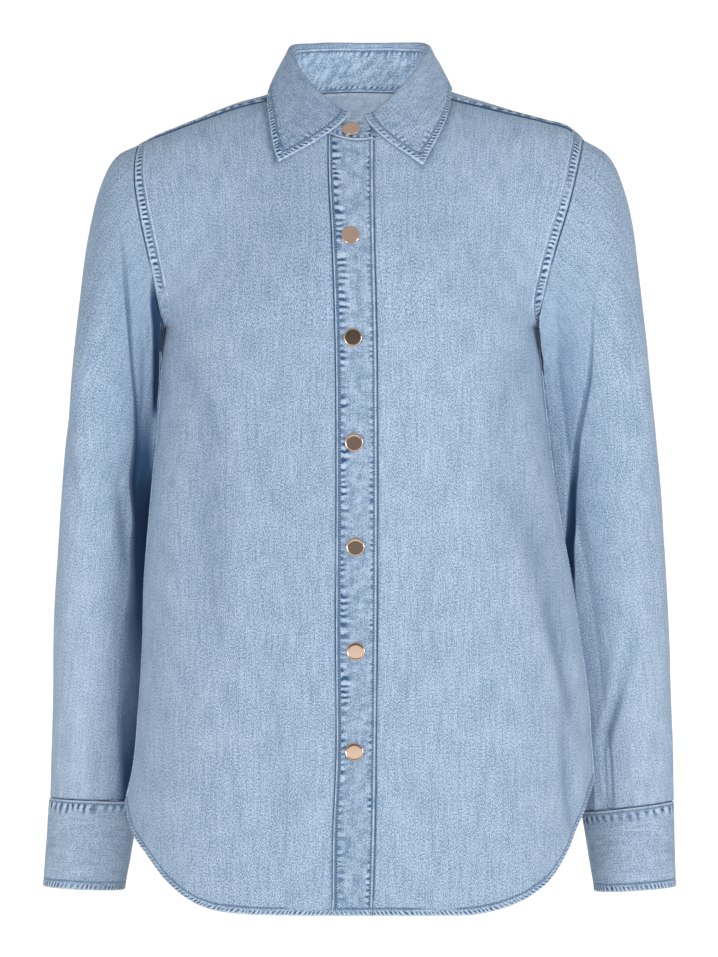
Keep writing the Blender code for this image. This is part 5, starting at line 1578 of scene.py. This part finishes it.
def leaf_panel():
    """The turned-down collar and its lines of stitching, along its outer edge and up both ends."""
    form, like, turns = leaf_form()
    low, along = from_edge(form, "last_row"), lengths(form, 1)
    ends = np.minimum(from_edge(form, "first_column"), from_edge(form, "last_column"))
    nearest, run = np.minimum(ends, low), np.where(ends < low, lengths(form, 0) + 0.5, along)
    sewn = either(ends < low, sewn_margin(COLLAR_FRONT, nearest, run, seed=82),
                  sewn_margin(COLLAR_EDGE, nearest, run, seed=81))
    inner = sewn_margin(COLLAR_INNER, nearest, run, seed=84)
    sewn = either(nearest > COLLAR_EDGE.stitch + 0.0006, inner, sewn)
    # A little darker all over, and darker on the wearer's right half: painted shade on the side away from
    # the key light
    darker = 0.10 + 0.14 * smoothstep((200 - turns) / 60)
    sewn = sewn._replace(relief=sewn.relief + lumps(along, low, 0.016, seed=87) * 0.0003,
                         wear=sewn.wear - darker)
    made = panel("collar_leaf", form, like, DOUBLED, sewn, mottle=0.35, rounded=ALL_EDGES, turned=True,
                 radius=0.0012)
    lines = [trimmed(row_line(made, low, COLLAR_EDGE.stitch), 0.0064, 0.0064)]
    count = form.shape[1] // 2
    for half in (slice(0, count), slice(count, None)):
        part = made._replace(points=made.points[:, half], normals=made.normals[:, half])
        lines.append(trimmed(column_line(part, ends[:, half], COLLAR_EDGE.stitch), 0.010, 0.0064))
    return made, lines


# ---------------------------------------------------------------- sewn bands


def felled_band(name, strip, kind, seed, outward_first=True, depth=0.0004, hem=False, fade=1.0, sunk=0.0):
    """A narrow strip of folded cloth beside a seam, on a surface's points and normals at each distance
    along the seam and away from it. Its outer face has the margin's beads, furrow and puckers, square to
    the seam. A sunk seam is dark, with a pale bead beside it. With the shell come its line of stitching and
    the distances in from its edge."""
    points, normals, away, width = strip
    middle = points[:, points.shape[1] // 2][:, None]
    run = unit(np.gradient(middle, axis=0))
    along = lengths(middle, 0) + np.sum((points - middle) * run, axis=-1)
    inward = np.broadcast_to((width - away) if outward_first else away, along.shape)
    sewn = sewn_margin(kind, inward, along, seed)
    line = 0.8 * np.exp(-(((away - 0.0014) / 0.0006) ** 2)) - 1.5 * np.exp(-((away / 0.0006) ** 2))
    sewn = sewn._replace(wear=(sewn.wear + sunk * line) * fade, crimp=sewn.crimp * fade)
    made = cloth(name, points + normals * 0.0006, normals, 0.0006 + depth, sewn, mottle=0.7,
                 lining=0.0005 if hem else 0.0, rounded=("first_column", "last_column"), radius=0.0007)
    return made, [column_line(made, inward, kind.stitch)], inward


def band_places(width):
    """Distances from the seam of a felled band's columns, close together at both edges."""
    inner = np.linspace(0.0007, width - 0.0007, round(width / 0.0009))
    return np.concatenate([[0.0, 0.0003], inner, [width - 0.0003, width]])


def armhole_band(side):
    """All round the armhole on the body's side of the seam, narrower towards the underarm."""
    away = band_places(SEAM_WIDTH)
    turn = np.linspace(0.004, math.pi - 0.004, 300)[:, None]
    row = np.minimum(turn, math.pi - turn)
    narrowing = 0.15 + 0.85 * smoothstep(row / 0.36)
    across = 1 - (away * narrowing + SEAM_GAP) / half_width(side, row)
    return over_shoulder(side, across, turn), shoulder_normals(side, across, turn), away, SEAM_WIDTH


def raised(points):
    """The yoke's points raised by up to 3 mm in a soft ridge along the top of each shoulder: a bell from
    front to back, with a smooth rise beside the collar and a fall towards the armhole."""
    x = np.abs(points[..., 0])
    along = smoothstep((x - 0.045) / 0.03) * np.clip((0.150 - x) / 0.065, 0, 1)
    return points + stack(0.0, 0.0, 0.0030 * along * np.exp(-(((points[..., 1] - 0.004) / 0.012) ** 2)))


def beside_seam(side, share, seam, away, step):
    """Shares across and angles over the shoulder at distances away from a seam. The step is a small angle
    to the side on which they lie, which tells how far on the cloth an angle reaches."""
    reach = over_shoulder(side, share, seam + step) - over_shoulder(side, share, seam)
    turn = seam + (away + SEAM_GAP) * step / np.linalg.norm(reach, axis=-1)
    return np.broadcast_to(share, turn.shape), turn


def shoulder_band(side):
    """Behind the yoke's front seam, from the collar to the armhole."""
    away = band_places(SEAM_WIDTH)
    share = float(neck_place(YOKE_NECK_TURN)[1])
    across = np.linspace(share + 0.01, 1 - SEAM_WIDTH / 0.187, 120)[:, None]
    across, turn = beside_seam(side, across, math.pi - front_seam_arch(across), away, -0.05)
    return raised(over_shoulder(side, across, turn)), shoulder_normals(side, across, turn), away, SEAM_WIDTH


def yoke_back_band():
    """Above the yoke's seam, right across the back."""
    away = band_places(SEAM_WIDTH)
    share = np.linspace(0, 1 - SEAM_WIDTH / 0.18, 180)[:, None]
    share, turn = beside_seam(RIGHT, share, back_seam_arch(share), away, 0.05)
    halves = [(over_shoulder(side, share, turn), shoulder_normals(side, share, turn)) for side in SIDES]
    points, normals = (np.concatenate([right[::-1], left[1:]]) for right, left in zip(*halves))
    return points, normals, away, SEAM_WIDTH


def side_band(side):
    """Beside the side seam on the front, from the hem to the underarm."""
    away = band_places(SEAM_WIDTH)
    row = np.linspace(-1 + 0.0145, -0.004, 280)[:, None]
    angle = math.pi / 2 - np.linspace(0, 0.30, 40)
    rows, shares = np.broadcast_arrays(row, to_share(angle))
    run = lengths(body_form(side, FRONT, shares, rows)[0], 1)
    angles = np.array([np.interp(away + SEAM_GAP, r, angle) for r in run])
    points, normals, _ = body_form(side, FRONT, to_share(angles), np.broadcast_to(row, angles.shape))
    return points, normals, away, SEAM_WIDTH


def hem_band(side, face):
    """Round the edge of a front's or the back's hem."""
    away = band_places(HEM_WIDTH)
    shares = to_share(math.pi / 2 * np.linspace(0, 1, 210))
    if face == FRONT:
        start = float(front_edge(side, -1.0) / half_width(side, np.array(-1.0)))
        shares = np.concatenate([[start + 0.0008], shares[shares > start + 0.004]])
    shares = shares[:-1][:, None]
    rows = -1 + away / (UNDERARM_Z - lookup(HEM, "share", side_name(side), shares))
    points, normals, _ = body_form(side, face, np.broadcast_to(shares, rows.shape), rows)
    return points, normals, away, HEM_WIDTH


def sleeve_band(side):
    """Down the inner side of a sleeve, from the underarm to the cuff."""
    away = band_places(SLEEVE_SEAM_WIDTH)
    station = sleeve_rows(290)[4:-4, None]
    angle = np.linspace(-0.02, 0.32, 40)[None, :]
    run = lengths(sleeve_form(side, station, angle + 0 * station)[0], 1)
    angles = np.array([np.interp(away, r, angle[0]) for r in run])
    points, _ = sleeve_form(side, station, angles)
    outward = stack(-side * np.ones_like(angles), 0.0, 0.0)
    return points, grid_normals(points, outward), away, SLEEVE_SEAM_WIDTH


# ---------------------------------------------------------------- stitches and caps


def stitching(name, lines, gap=0.0008, length=0.0016, gauge=0.00034):
    """Rows of stitches, joined in one mesh. Each is a spindle with two rings of four corners and a point at
    each end, laid along its line in an arch whose ends dive into the cloth."""
    places, ups = [], []
    for points, normals in lines:
        run = lengths(points, 0)
        count = int(run[-1] / (length + gap))
        at = (np.arange(count) + 0.2)[:, None] * (length + gap) + length * np.array([0, 0.3, 0.7, 1])
        for kept, values in ((places, points), (ups, normals)):
            kept.append(np.stack([np.interp(at, run, values[:, k]) for k in range(3)], axis=-1))
    centre, up = np.concatenate(places), unit(np.concatenate(ups))
    ahead = unit(centre[:, 3:] - centre[:, :1])
    aside = unit(np.cross(ahead, up))
    centre = centre + up * np.array([-0.9, 0.6, 0.6, -0.9])[:, None] * gauge
    turn = (np.linspace(0, 2 * math.pi, 4, endpoint=False) + math.pi / 4)[:, None]
    rings = centre[:, 1:3, None] + gauge * (np.cos(turn) * aside[:, 1:3, None] * 1.2
                                            + np.sin(turn) * up[:, 1:3, None])
    count = len(centre)
    corners = np.concatenate([centre[:, :1], rings.reshape(count, 8, 3), centre[:, 3:]], axis=1)
    quads = np.array([[1 + i, 5 + i, 5 + (i + 1) % 4, 1 + (i + 1) % 4] for i in range(4)])
    tips = np.array([[0, 1 + i, 1 + (i + 1) % 4] for i in range(4)]
                    + [[9, 5 + (i + 1) % 4, 5 + i] for i in range(4)])
    first = (np.arange(count) * 10)[:, None, None]
    faces = [(corner + first).reshape(-1, corner.shape[1]) for corner in (quads, tips)]
    return add_piece(name, corners.reshape(-1, 3), faces, finish("blue_thread", thread),
                     sharp=180)


CAP_PROFILE = table(
    "radius  height",
    (0.00, 1.016),
    (0.22, 1.015),
    (0.44, 1.012),
    (0.66, 1.007),
    (0.84, 0.999),
    (0.92, 0.985),
    (0.965, 0.93),
    (0.99, 0.83),
    (1.00, 0.70),
    (0.995, 0.55),
    (0.97, 0.42),
    (0.93, 0.34),
    (0.90, 0.30),
    (0.90, 0.00),
    (0.00, 0.00),
)
CAP_SIDES = 72
WRIST = (0.23, 0.062)  # x, on either side, and y of the middle of a cuff
CAPS = [f"button_{i}" for i in range(1, 8)] + ["cuff_button_right", "cuff_button_left"]


def facing(points, faces, way):
    """The faces, with their corners in the order in which the first one faces that way."""
    a, b, c = points[faces[0, :3]]
    return faces if np.cross(b - a, c - a) @ way > 0 else faces[:, ::-1]


def snap_cap(name):
    """A flat metal cap turned from its profile: a barely domed face, a rounded rim drawn in underneath, and
    the socket that goes into the cloth. Its place and size are the solid's: the middle of its points, and
    the direction in which they reach least, away from the body or the wrist inside."""
    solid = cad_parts[name]
    corners = np.zeros(len(solid.data.vertices) * 3)
    solid.data.vertices.foreach_get("co", corners)
    corners = corners.reshape(-1, 3)
    middle = corners.mean(axis=0)
    up = np.linalg.svd(corners - middle, full_matrices=False)[2][2]
    at_wrist = name.startswith("cuff")
    inside = [math.copysign(WRIST[0], middle[0]), WRIST[1], middle[2]] if at_wrist else [0.0, 0.0, middle[2]]
    up = up if up @ (middle - inside) > 0 else -up
    side = unit(np.cross(up, [0.0, 0.0, 1.0]))
    other = np.cross(side, up)
    reach = (corners - middle) @ up
    radius = np.hypot((corners - middle) @ side, (corners - middle) @ other).max()
    turn = np.linspace(0, 2 * math.pi, CAP_SIDES, endpoint=False)
    spokes = np.cos(turn)[:, None] * side + np.sin(turn)[:, None] * other
    heights = reach.min() + (reach.max() - reach.min()) * CAP_PROFILE["height"]
    rings = radius * CAP_PROFILE["radius"][:, None, None] * spokes + heights[:, None, None] * up
    points = middle + np.concatenate([rings[1:-1].reshape(-1, 3), rings[[0, -1], 0]])
    quads = grid_faces(len(heights) - 2, CAP_SIDES, True)
    spot, after = np.arange(CAP_SIDES), (np.arange(CAP_SIDES) + 1) % CAP_SIDES
    pole, last = len(points) - 2, len(points) - 2 - CAP_SIDES
    tips = np.concatenate([np.stack([0 * spot + pole, spot, after], 1),
                           np.stack([0 * spot + pole + 1, last + after, last + spot], 1)])
    faces = [facing(points, quads, up), facing(points, tips, up)]
    piece = add_piece(name + "_cap", points, faces, finish("rose_gold_plate", rose_gold),
                      sharp=50)
    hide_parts(name)


# ---------------------------------------------------------------- stage

FLOOR_REACH = 5.0
# The lamps' places, sizes and aims. Their powers are the stage's settings of the same names
LAMPS = {
    "key": ((2.2, -3.0, -0.20), 0.9, (0.0, 0.0, -0.45)),
    "fill": ((-1.6, -3.0, -1.10), 1.2, (0.0, 0.0, -0.45)),
    "front": ((0.0, -6.4, -0.80), 1.6, (0.0, 0.0, -0.45)),
    "inside": ((0.0, -0.040, -0.03), 0.05, (0.0, 0.07, -0.02)),
}
MIRRORED = ("key", "fill")
# The dark cards lie above and below a strip of light straight ahead: each direction's start and end of its
# fade
CARDS = {"above": ("Z", 0.002, 0.018), "below": ("Z", -0.050, -0.062), "ahead": ("Y", -0.96, -0.99)}


def lay_floor(settings):
    """A pale square floor below the shirt."""
    corners = [(x * FLOOR_REACH, y * FLOOR_REACH, settings.floor_drop)
               for x, y in ((-1, -1), (1, -1), (1, 1), (-1, 1))]
    mesh = bpy.data.meshes.new("floor")
    mesh.from_pydata(corners, [], [(0, 1, 2, 3)])

    def paint(_, shader):
        shader.inputs["Base Color"].default_value = (*settings.floor, 1)
        shader.inputs["Roughness"].default_value = 0.9

    mesh.materials.append(finish("pale_floor", paint))
    floor = bpy.data.objects.new("floor", mesh)
    bpy.context.scene.collection.objects.link(floor)


def fading(tree, value, start, end, low=0.0, high=1.0):
    """A smooth step from low to high between two values."""
    made = node(tree, "MapRange", interpolation_type="SMOOTHSTEP", From_Min=start, From_Max=end, To_Min=low,
                To_Max=high)
    tree.links.new(value, made.inputs["Value"])
    return made.outputs["Result"]


def white_surround(settings):
    """A white world, dimmer above, with the two dark cards that the metal mirrors."""
    world = bpy.data.worlds.new("white_surround")
    world.use_nodes = True
    tree = world.node_tree
    split = node(tree, "SeparateXYZ")
    tree.links.new(node(tree, "TexCoord").outputs["Generated"], split.inputs["Vector"])
    height = maths(tree, "MULTIPLY_ADD", split.outputs["Y"], -0.16, split.outputs["Z"])
    dimming = fading(tree, height, 0.06, 0.30, 1.0, settings.overhead)
    above, below, ahead = (fading(tree, split.outputs[axis], *ends) for axis, *ends in CARDS.values())
    shaded = maths(tree, "MULTIPLY", maths(tree, "MAXIMUM", above, below), ahead)
    shaded = maths(tree, "MULTIPLY", shaded, settings.card)
    lit = maths(tree, "MULTIPLY", maths(tree, "SUBTRACT", 1.0, shaded), settings.surround)
    background = tree.nodes["Background"]
    background.inputs["Color"].default_value = (1, 1, 1, 1)
    tree.links.new(maths(tree, "MULTIPLY", dimming, lit), background.inputs["Strength"])
    return world


def hang_lamp(name, place, size, target, power):
    """A square soft light that faces its target."""
    light = bpy.data.lights.new(name, "AREA")
    light.size, light.energy = size, power
    lamp = bpy.data.objects.new(name, light)
    lamp.location = place
    lamp.visible_glossy = name in MIRRORED
    aim = np.array(target) - np.array(lamp.location)
    lamp.rotation_euler = (math.atan2(math.hypot(aim[0], aim[1]), -aim[2]), 0.0,
                           math.atan2(aim[1], aim[0]) - math.pi / 2)
    bpy.context.scene.collection.objects.link(lamp)


def level_camera(settings):
    """A level camera ahead of the shirt, whose focal length is the sensor's width times the distance over
    the height seen."""
    lens = bpy.data.cameras.new("camera")
    lens.sensor_width = 36.0
    lens.lens = lens.sensor_width * settings.distance / settings.seen
    camera = bpy.data.objects.new("camera", lens)
    camera.location = (0.0, -settings.distance, settings.level)
    camera.rotation_euler = (math.pi / 2, 0.0, 0.0)
    bpy.context.scene.collection.objects.link(camera)
    return camera


# ---------------------------------------------------------------- settings


class ShirtCloth(PropertyGroup):
    """Colours of the cloth and its thread."""

    blue: FloatVectorProperty(name="Blue", description="Darker tone of the washed cloth", subtype="COLOR",
                              size=3, min=0, max=1, default=(0.180, 0.280, 0.420))
    pale: FloatVectorProperty(name="Pale", description="Paler tone of the washed cloth", subtype="COLOR",
                              size=3, min=0, max=1, default=(0.50, 0.62, 0.77))
    # Indigo is also the colour of the painted shade in creases, the sleeves' tuck and cleft and beside the
    # collar
    indigo: FloatVectorProperty(name="Indigo", description="Dye left in the furrows beside the stitching",
                                subtype="COLOR", size=3, min=0, max=1, default=(0.045, 0.105, 0.220))
    worn: FloatVectorProperty(name="Worn", description="Rubbed ridges and edges", subtype="COLOR", size=3,
                              min=0, max=1, default=(0.62, 0.72, 0.84))
    thread: FloatVectorProperty(name="Thread", description="Sewing thread", subtype="COLOR", size=3, min=0,
                                max=1, default=(0.42, 0.55, 0.70))


class ShirtMetal(PropertyGroup):
    """The snap caps' plating."""

    colour: FloatVectorProperty(name="Colour", description="Rose gold plate", subtype="COLOR", size=3, min=0,
                                max=1, default=(0.80, 0.58, 0.44))
    roughness: FloatProperty(name="Roughness", description="How dull the plate is", min=0, max=1,
                             default=0.02)


class ShirtStage(PropertyGroup):
    """Floor, light and camera."""

    floor: FloatVectorProperty(name="Floor", description="Pale floor", subtype="COLOR", size=3, min=0, max=1,
                               default=(0.93, 0.93, 0.93))
    floor_drop: FloatProperty(name="Floor height", description="Height of the floor", unit="LENGTH",
                              default=-1.25)
    surround: FloatProperty(name="Surround", description="Strength of the white surround", min=0,
                            default=1.08)
    overhead: FloatProperty(name="Overhead", description="Share of the surround's light from above", min=0,
                            max=1, default=0.42)
    card: FloatProperty(name="Dark cards", description="How dark the cards above and below the camera are",
                        min=0, max=1, default=0.8)
    key: FloatProperty(name="Key", description="Power of the soft light from the front left of the wearer",
                       unit="POWER", min=0, default=34.0)
    fill: FloatProperty(name="Fill", description="Power of the soft light from the other side", unit="POWER",
                        min=0, default=32.0)
    front: FloatProperty(name="Front", description="Power of the broad light from straight in front",
                         unit="POWER", min=0, default=85.0)
    inside: FloatProperty(name="Inside", description="Power of the small light inside the neck",
                          unit="POWER", min=0, default=0.055)
    distance: FloatProperty(name="Distance", description="From the camera to the shirt", unit="LENGTH",
                            default=6.0)
    seen: FloatProperty(name="Height seen", description="Height of the view at the shirt", unit="LENGTH",
                        default=0.7991)
    level: FloatProperty(name="Camera height", description="Height of the level camera", unit="LENGTH",
                         default=-0.316)


# ---------------------------------------------------------------- operators


class SHIRT_OT_fronts(Operator):
    """Makes both front panels with their hems and side seams"""

    bl_idname = "shirt.fronts"
    bl_label = "Fronts"

    def execute(self, context):
        for side in SIDES:
            made = front_panel(side)
            name = side_name(side)
            hem, hem_lines, _ = felled_band(f"front_hem_{name}", hem_band(side, FRONT), TURNED_HEM,
                                            91 + side, outward_first=False, depth=HEM_DEPTH, hem=True)
            strip = side_band(side)
            fade = 0.2 + 0.8 * smoothstep((-0.440 - strip[0][..., 2]) / 0.12)
            seam, seam_lines, inward = felled_band(f"side_seam_{name}", strip, FELLED, 94 + side, fade=fade)
            second = column_line(seam, inward, SEAM_WIDTH - SECOND_STITCH)
            sewn = stitching(f"front_stitching_{name}", [*hem_lines, *seam_lines, second])
        return {"FINISHED"}


class SHIRT_OT_plackets(Operator):
    """Makes the two bands of the front closing"""

    bl_idname = "shirt.plackets"
    bl_label = "Button bands"

    def execute(self, context):
        made, lines = top_band()
        stitching("placket_stitching", lines)
        under_band()
        return {"FINISHED"}


class SHIRT_OT_back(Operator):
    """Makes the back panel with its hem"""

    bl_idname = "shirt.back"
    bl_label = "Back"

    def execute(self, context):
        made = back_panel()
        pieces, lines = [], []
        for side in SIDES:
            hem, hem_lines, _ = felled_band(f"back_hem_{side_name(side)}", hem_band(side, BACK), TURNED_HEM,
                                            101 + side, outward_first=False, depth=HEM_DEPTH, hem=True)
            pieces.append(hem.piece)
            lines += hem_lines
        stitching("back_stitching", lines)
        return {"FINISHED"}


class SHIRT_OT_yoke(Operator):
    """Makes the yoke with the felled bands of its seams and of the armholes"""

    bl_idname = "shirt.yoke"
    bl_label = "Yoke"

    def execute(self, context):
        made = yoke_panel()
        pieces, lines = [], []
        bands = [("yoke_back_seam", yoke_back_band(), FELLED)]
        for side in SIDES:
            bands.append((f"armhole_seam_{side_name(side)}", armhole_band(side), FELLED))
            bands.append((f"shoulder_seam_{side_name(side)}", shoulder_band(side), SHOULDER_SEAM))
        for number, (name, strip, kind) in enumerate(bands):
            fade = 1.0
            if name == "armhole_seam_right":
                fade = smoothstep((strip[0][..., 2] + 0.166) / 0.014 + 2.0 * (strip[0][..., 1] > SIDE_Y))
            band, stitched, inward = felled_band(name, strip, kind, 111 + 4 * number, fade=fade, sunk=1.0)
            pieces.append(band.piece)
            lines += [*stitched, column_line(band, inward, SEAM_WIDTH - SECOND_STITCH)]
        stitching("yoke_stitching", lines)
        return {"FINISHED"}


class SHIRT_OT_sleeves(Operator):
    """Makes both sleeves with their underarm seams"""

    bl_idname = "shirt.sleeves"
    bl_label = "Sleeves"

    def execute(self, context):
        for side in SIDES:
            made = sleeve_panel(side)
            name = side_name(side)
            seam, lines, inward = felled_band(f"sleeve_seam_{name}", sleeve_band(side), FELLED, 131 + side)
            second = column_line(seam, inward, SLEEVE_SEAM_WIDTH - SECOND_STITCH)
            sewn = stitching(f"sleeve_stitching_{name}", [*lines, second])
        return {"FINISHED"}


class SHIRT_OT_cuffs(Operator):
    """Makes both cuffs"""

    bl_idname = "shirt.cuffs"
    bl_label = "Cuffs"

    def execute(self, context):
        for side in SIDES:
            made, lines = cuff_panel(side)
            stitching(f"cuff_stitching_{side_name(side)}", lines)
        return {"FINISHED"}


class SHIRT_OT_collar(Operator):
    """Makes the collar's stand and its turned-down leaf"""

    bl_idname = "shirt.collar"
    bl_label = "Collar"

    def execute(self, context):
        stand, lines = stand_panel()
        stitching("collar_stand_stitching", lines)
        leaf, lines = leaf_panel()
        stitching("collar_leaf_stitching", lines)
        return {"FINISHED"}


class SHIRT_OT_caps(Operator):
    """Makes the metal snap caps"""

    bl_idname = "shirt.caps"
    bl_label = "Snap caps"

    def execute(self, context):
        for name in CAPS:
            snap_cap(name)
        return {"FINISHED"}


class SHIRT_OT_stage(Operator):
    """Sets up the pale floor, the soft light and the camera"""

    bl_idname = "shirt.stage"
    bl_label = "Stage"

    def execute(self, context):
        scene, settings = context.scene, context.scene.shirt_stage
        lay_floor(settings)
        scene.world = white_surround(settings)
        scene.view_settings.view_transform = "Standard"
        for name, (place, size, target) in LAMPS.items():
            hang_lamp(name, place, size, target, getattr(settings, name))
        scene.camera = level_camera(settings)
        return {"FINISHED"}


class SHIRT_PT_panel(Panel):
    """The shirt's settings and the buttons that make its pieces"""

    bl_idname = "SHIRT_PT_panel"
    bl_label = "Denim Shirt"
    bl_space_type = "VIEW_3D"
    bl_region_type = "UI"
    bl_category = "Shirt"

    def draw(self, context):
        for group in (context.scene.shirt_cloth, context.scene.shirt_metal, context.scene.shirt_stage):
            box = self.layout.box()
            for name in group.__annotations__:
                box.prop(group, name)
        for operator in OPERATORS:
            self.layout.operator(operator.bl_idname)


OPERATORS = (
    SHIRT_OT_stage,
    SHIRT_OT_fronts,
    SHIRT_OT_plackets,
    SHIRT_OT_back,
    SHIRT_OT_yoke,
    SHIRT_OT_sleeves,
    SHIRT_OT_cuffs,
    SHIRT_OT_collar,
    SHIRT_OT_caps,
)
GROUPS = {"shirt_cloth": ShirtCloth, "shirt_metal": ShirtMetal, "shirt_stage": ShirtStage}


def register():
    for made in (*GROUPS.values(), *OPERATORS, SHIRT_PT_panel):
        bpy.utils.register_class(made)
    for name, group in GROUPS.items():
        setattr(bpy.types.Scene, name, PointerProperty(type=group))


def unregister():
    for name in GROUPS:
        delattr(bpy.types.Scene, name)
    for made in reversed((*GROUPS.values(), *OPERATORS, SHIRT_PT_panel)):
        bpy.utils.unregister_class(made)


def main():
    register()
    for operator in OPERATORS:
        family, name = operator.bl_idname.split(".")
        getattr(getattr(bpy.ops, family), name)()


if __name__ == "__main__":
    main()
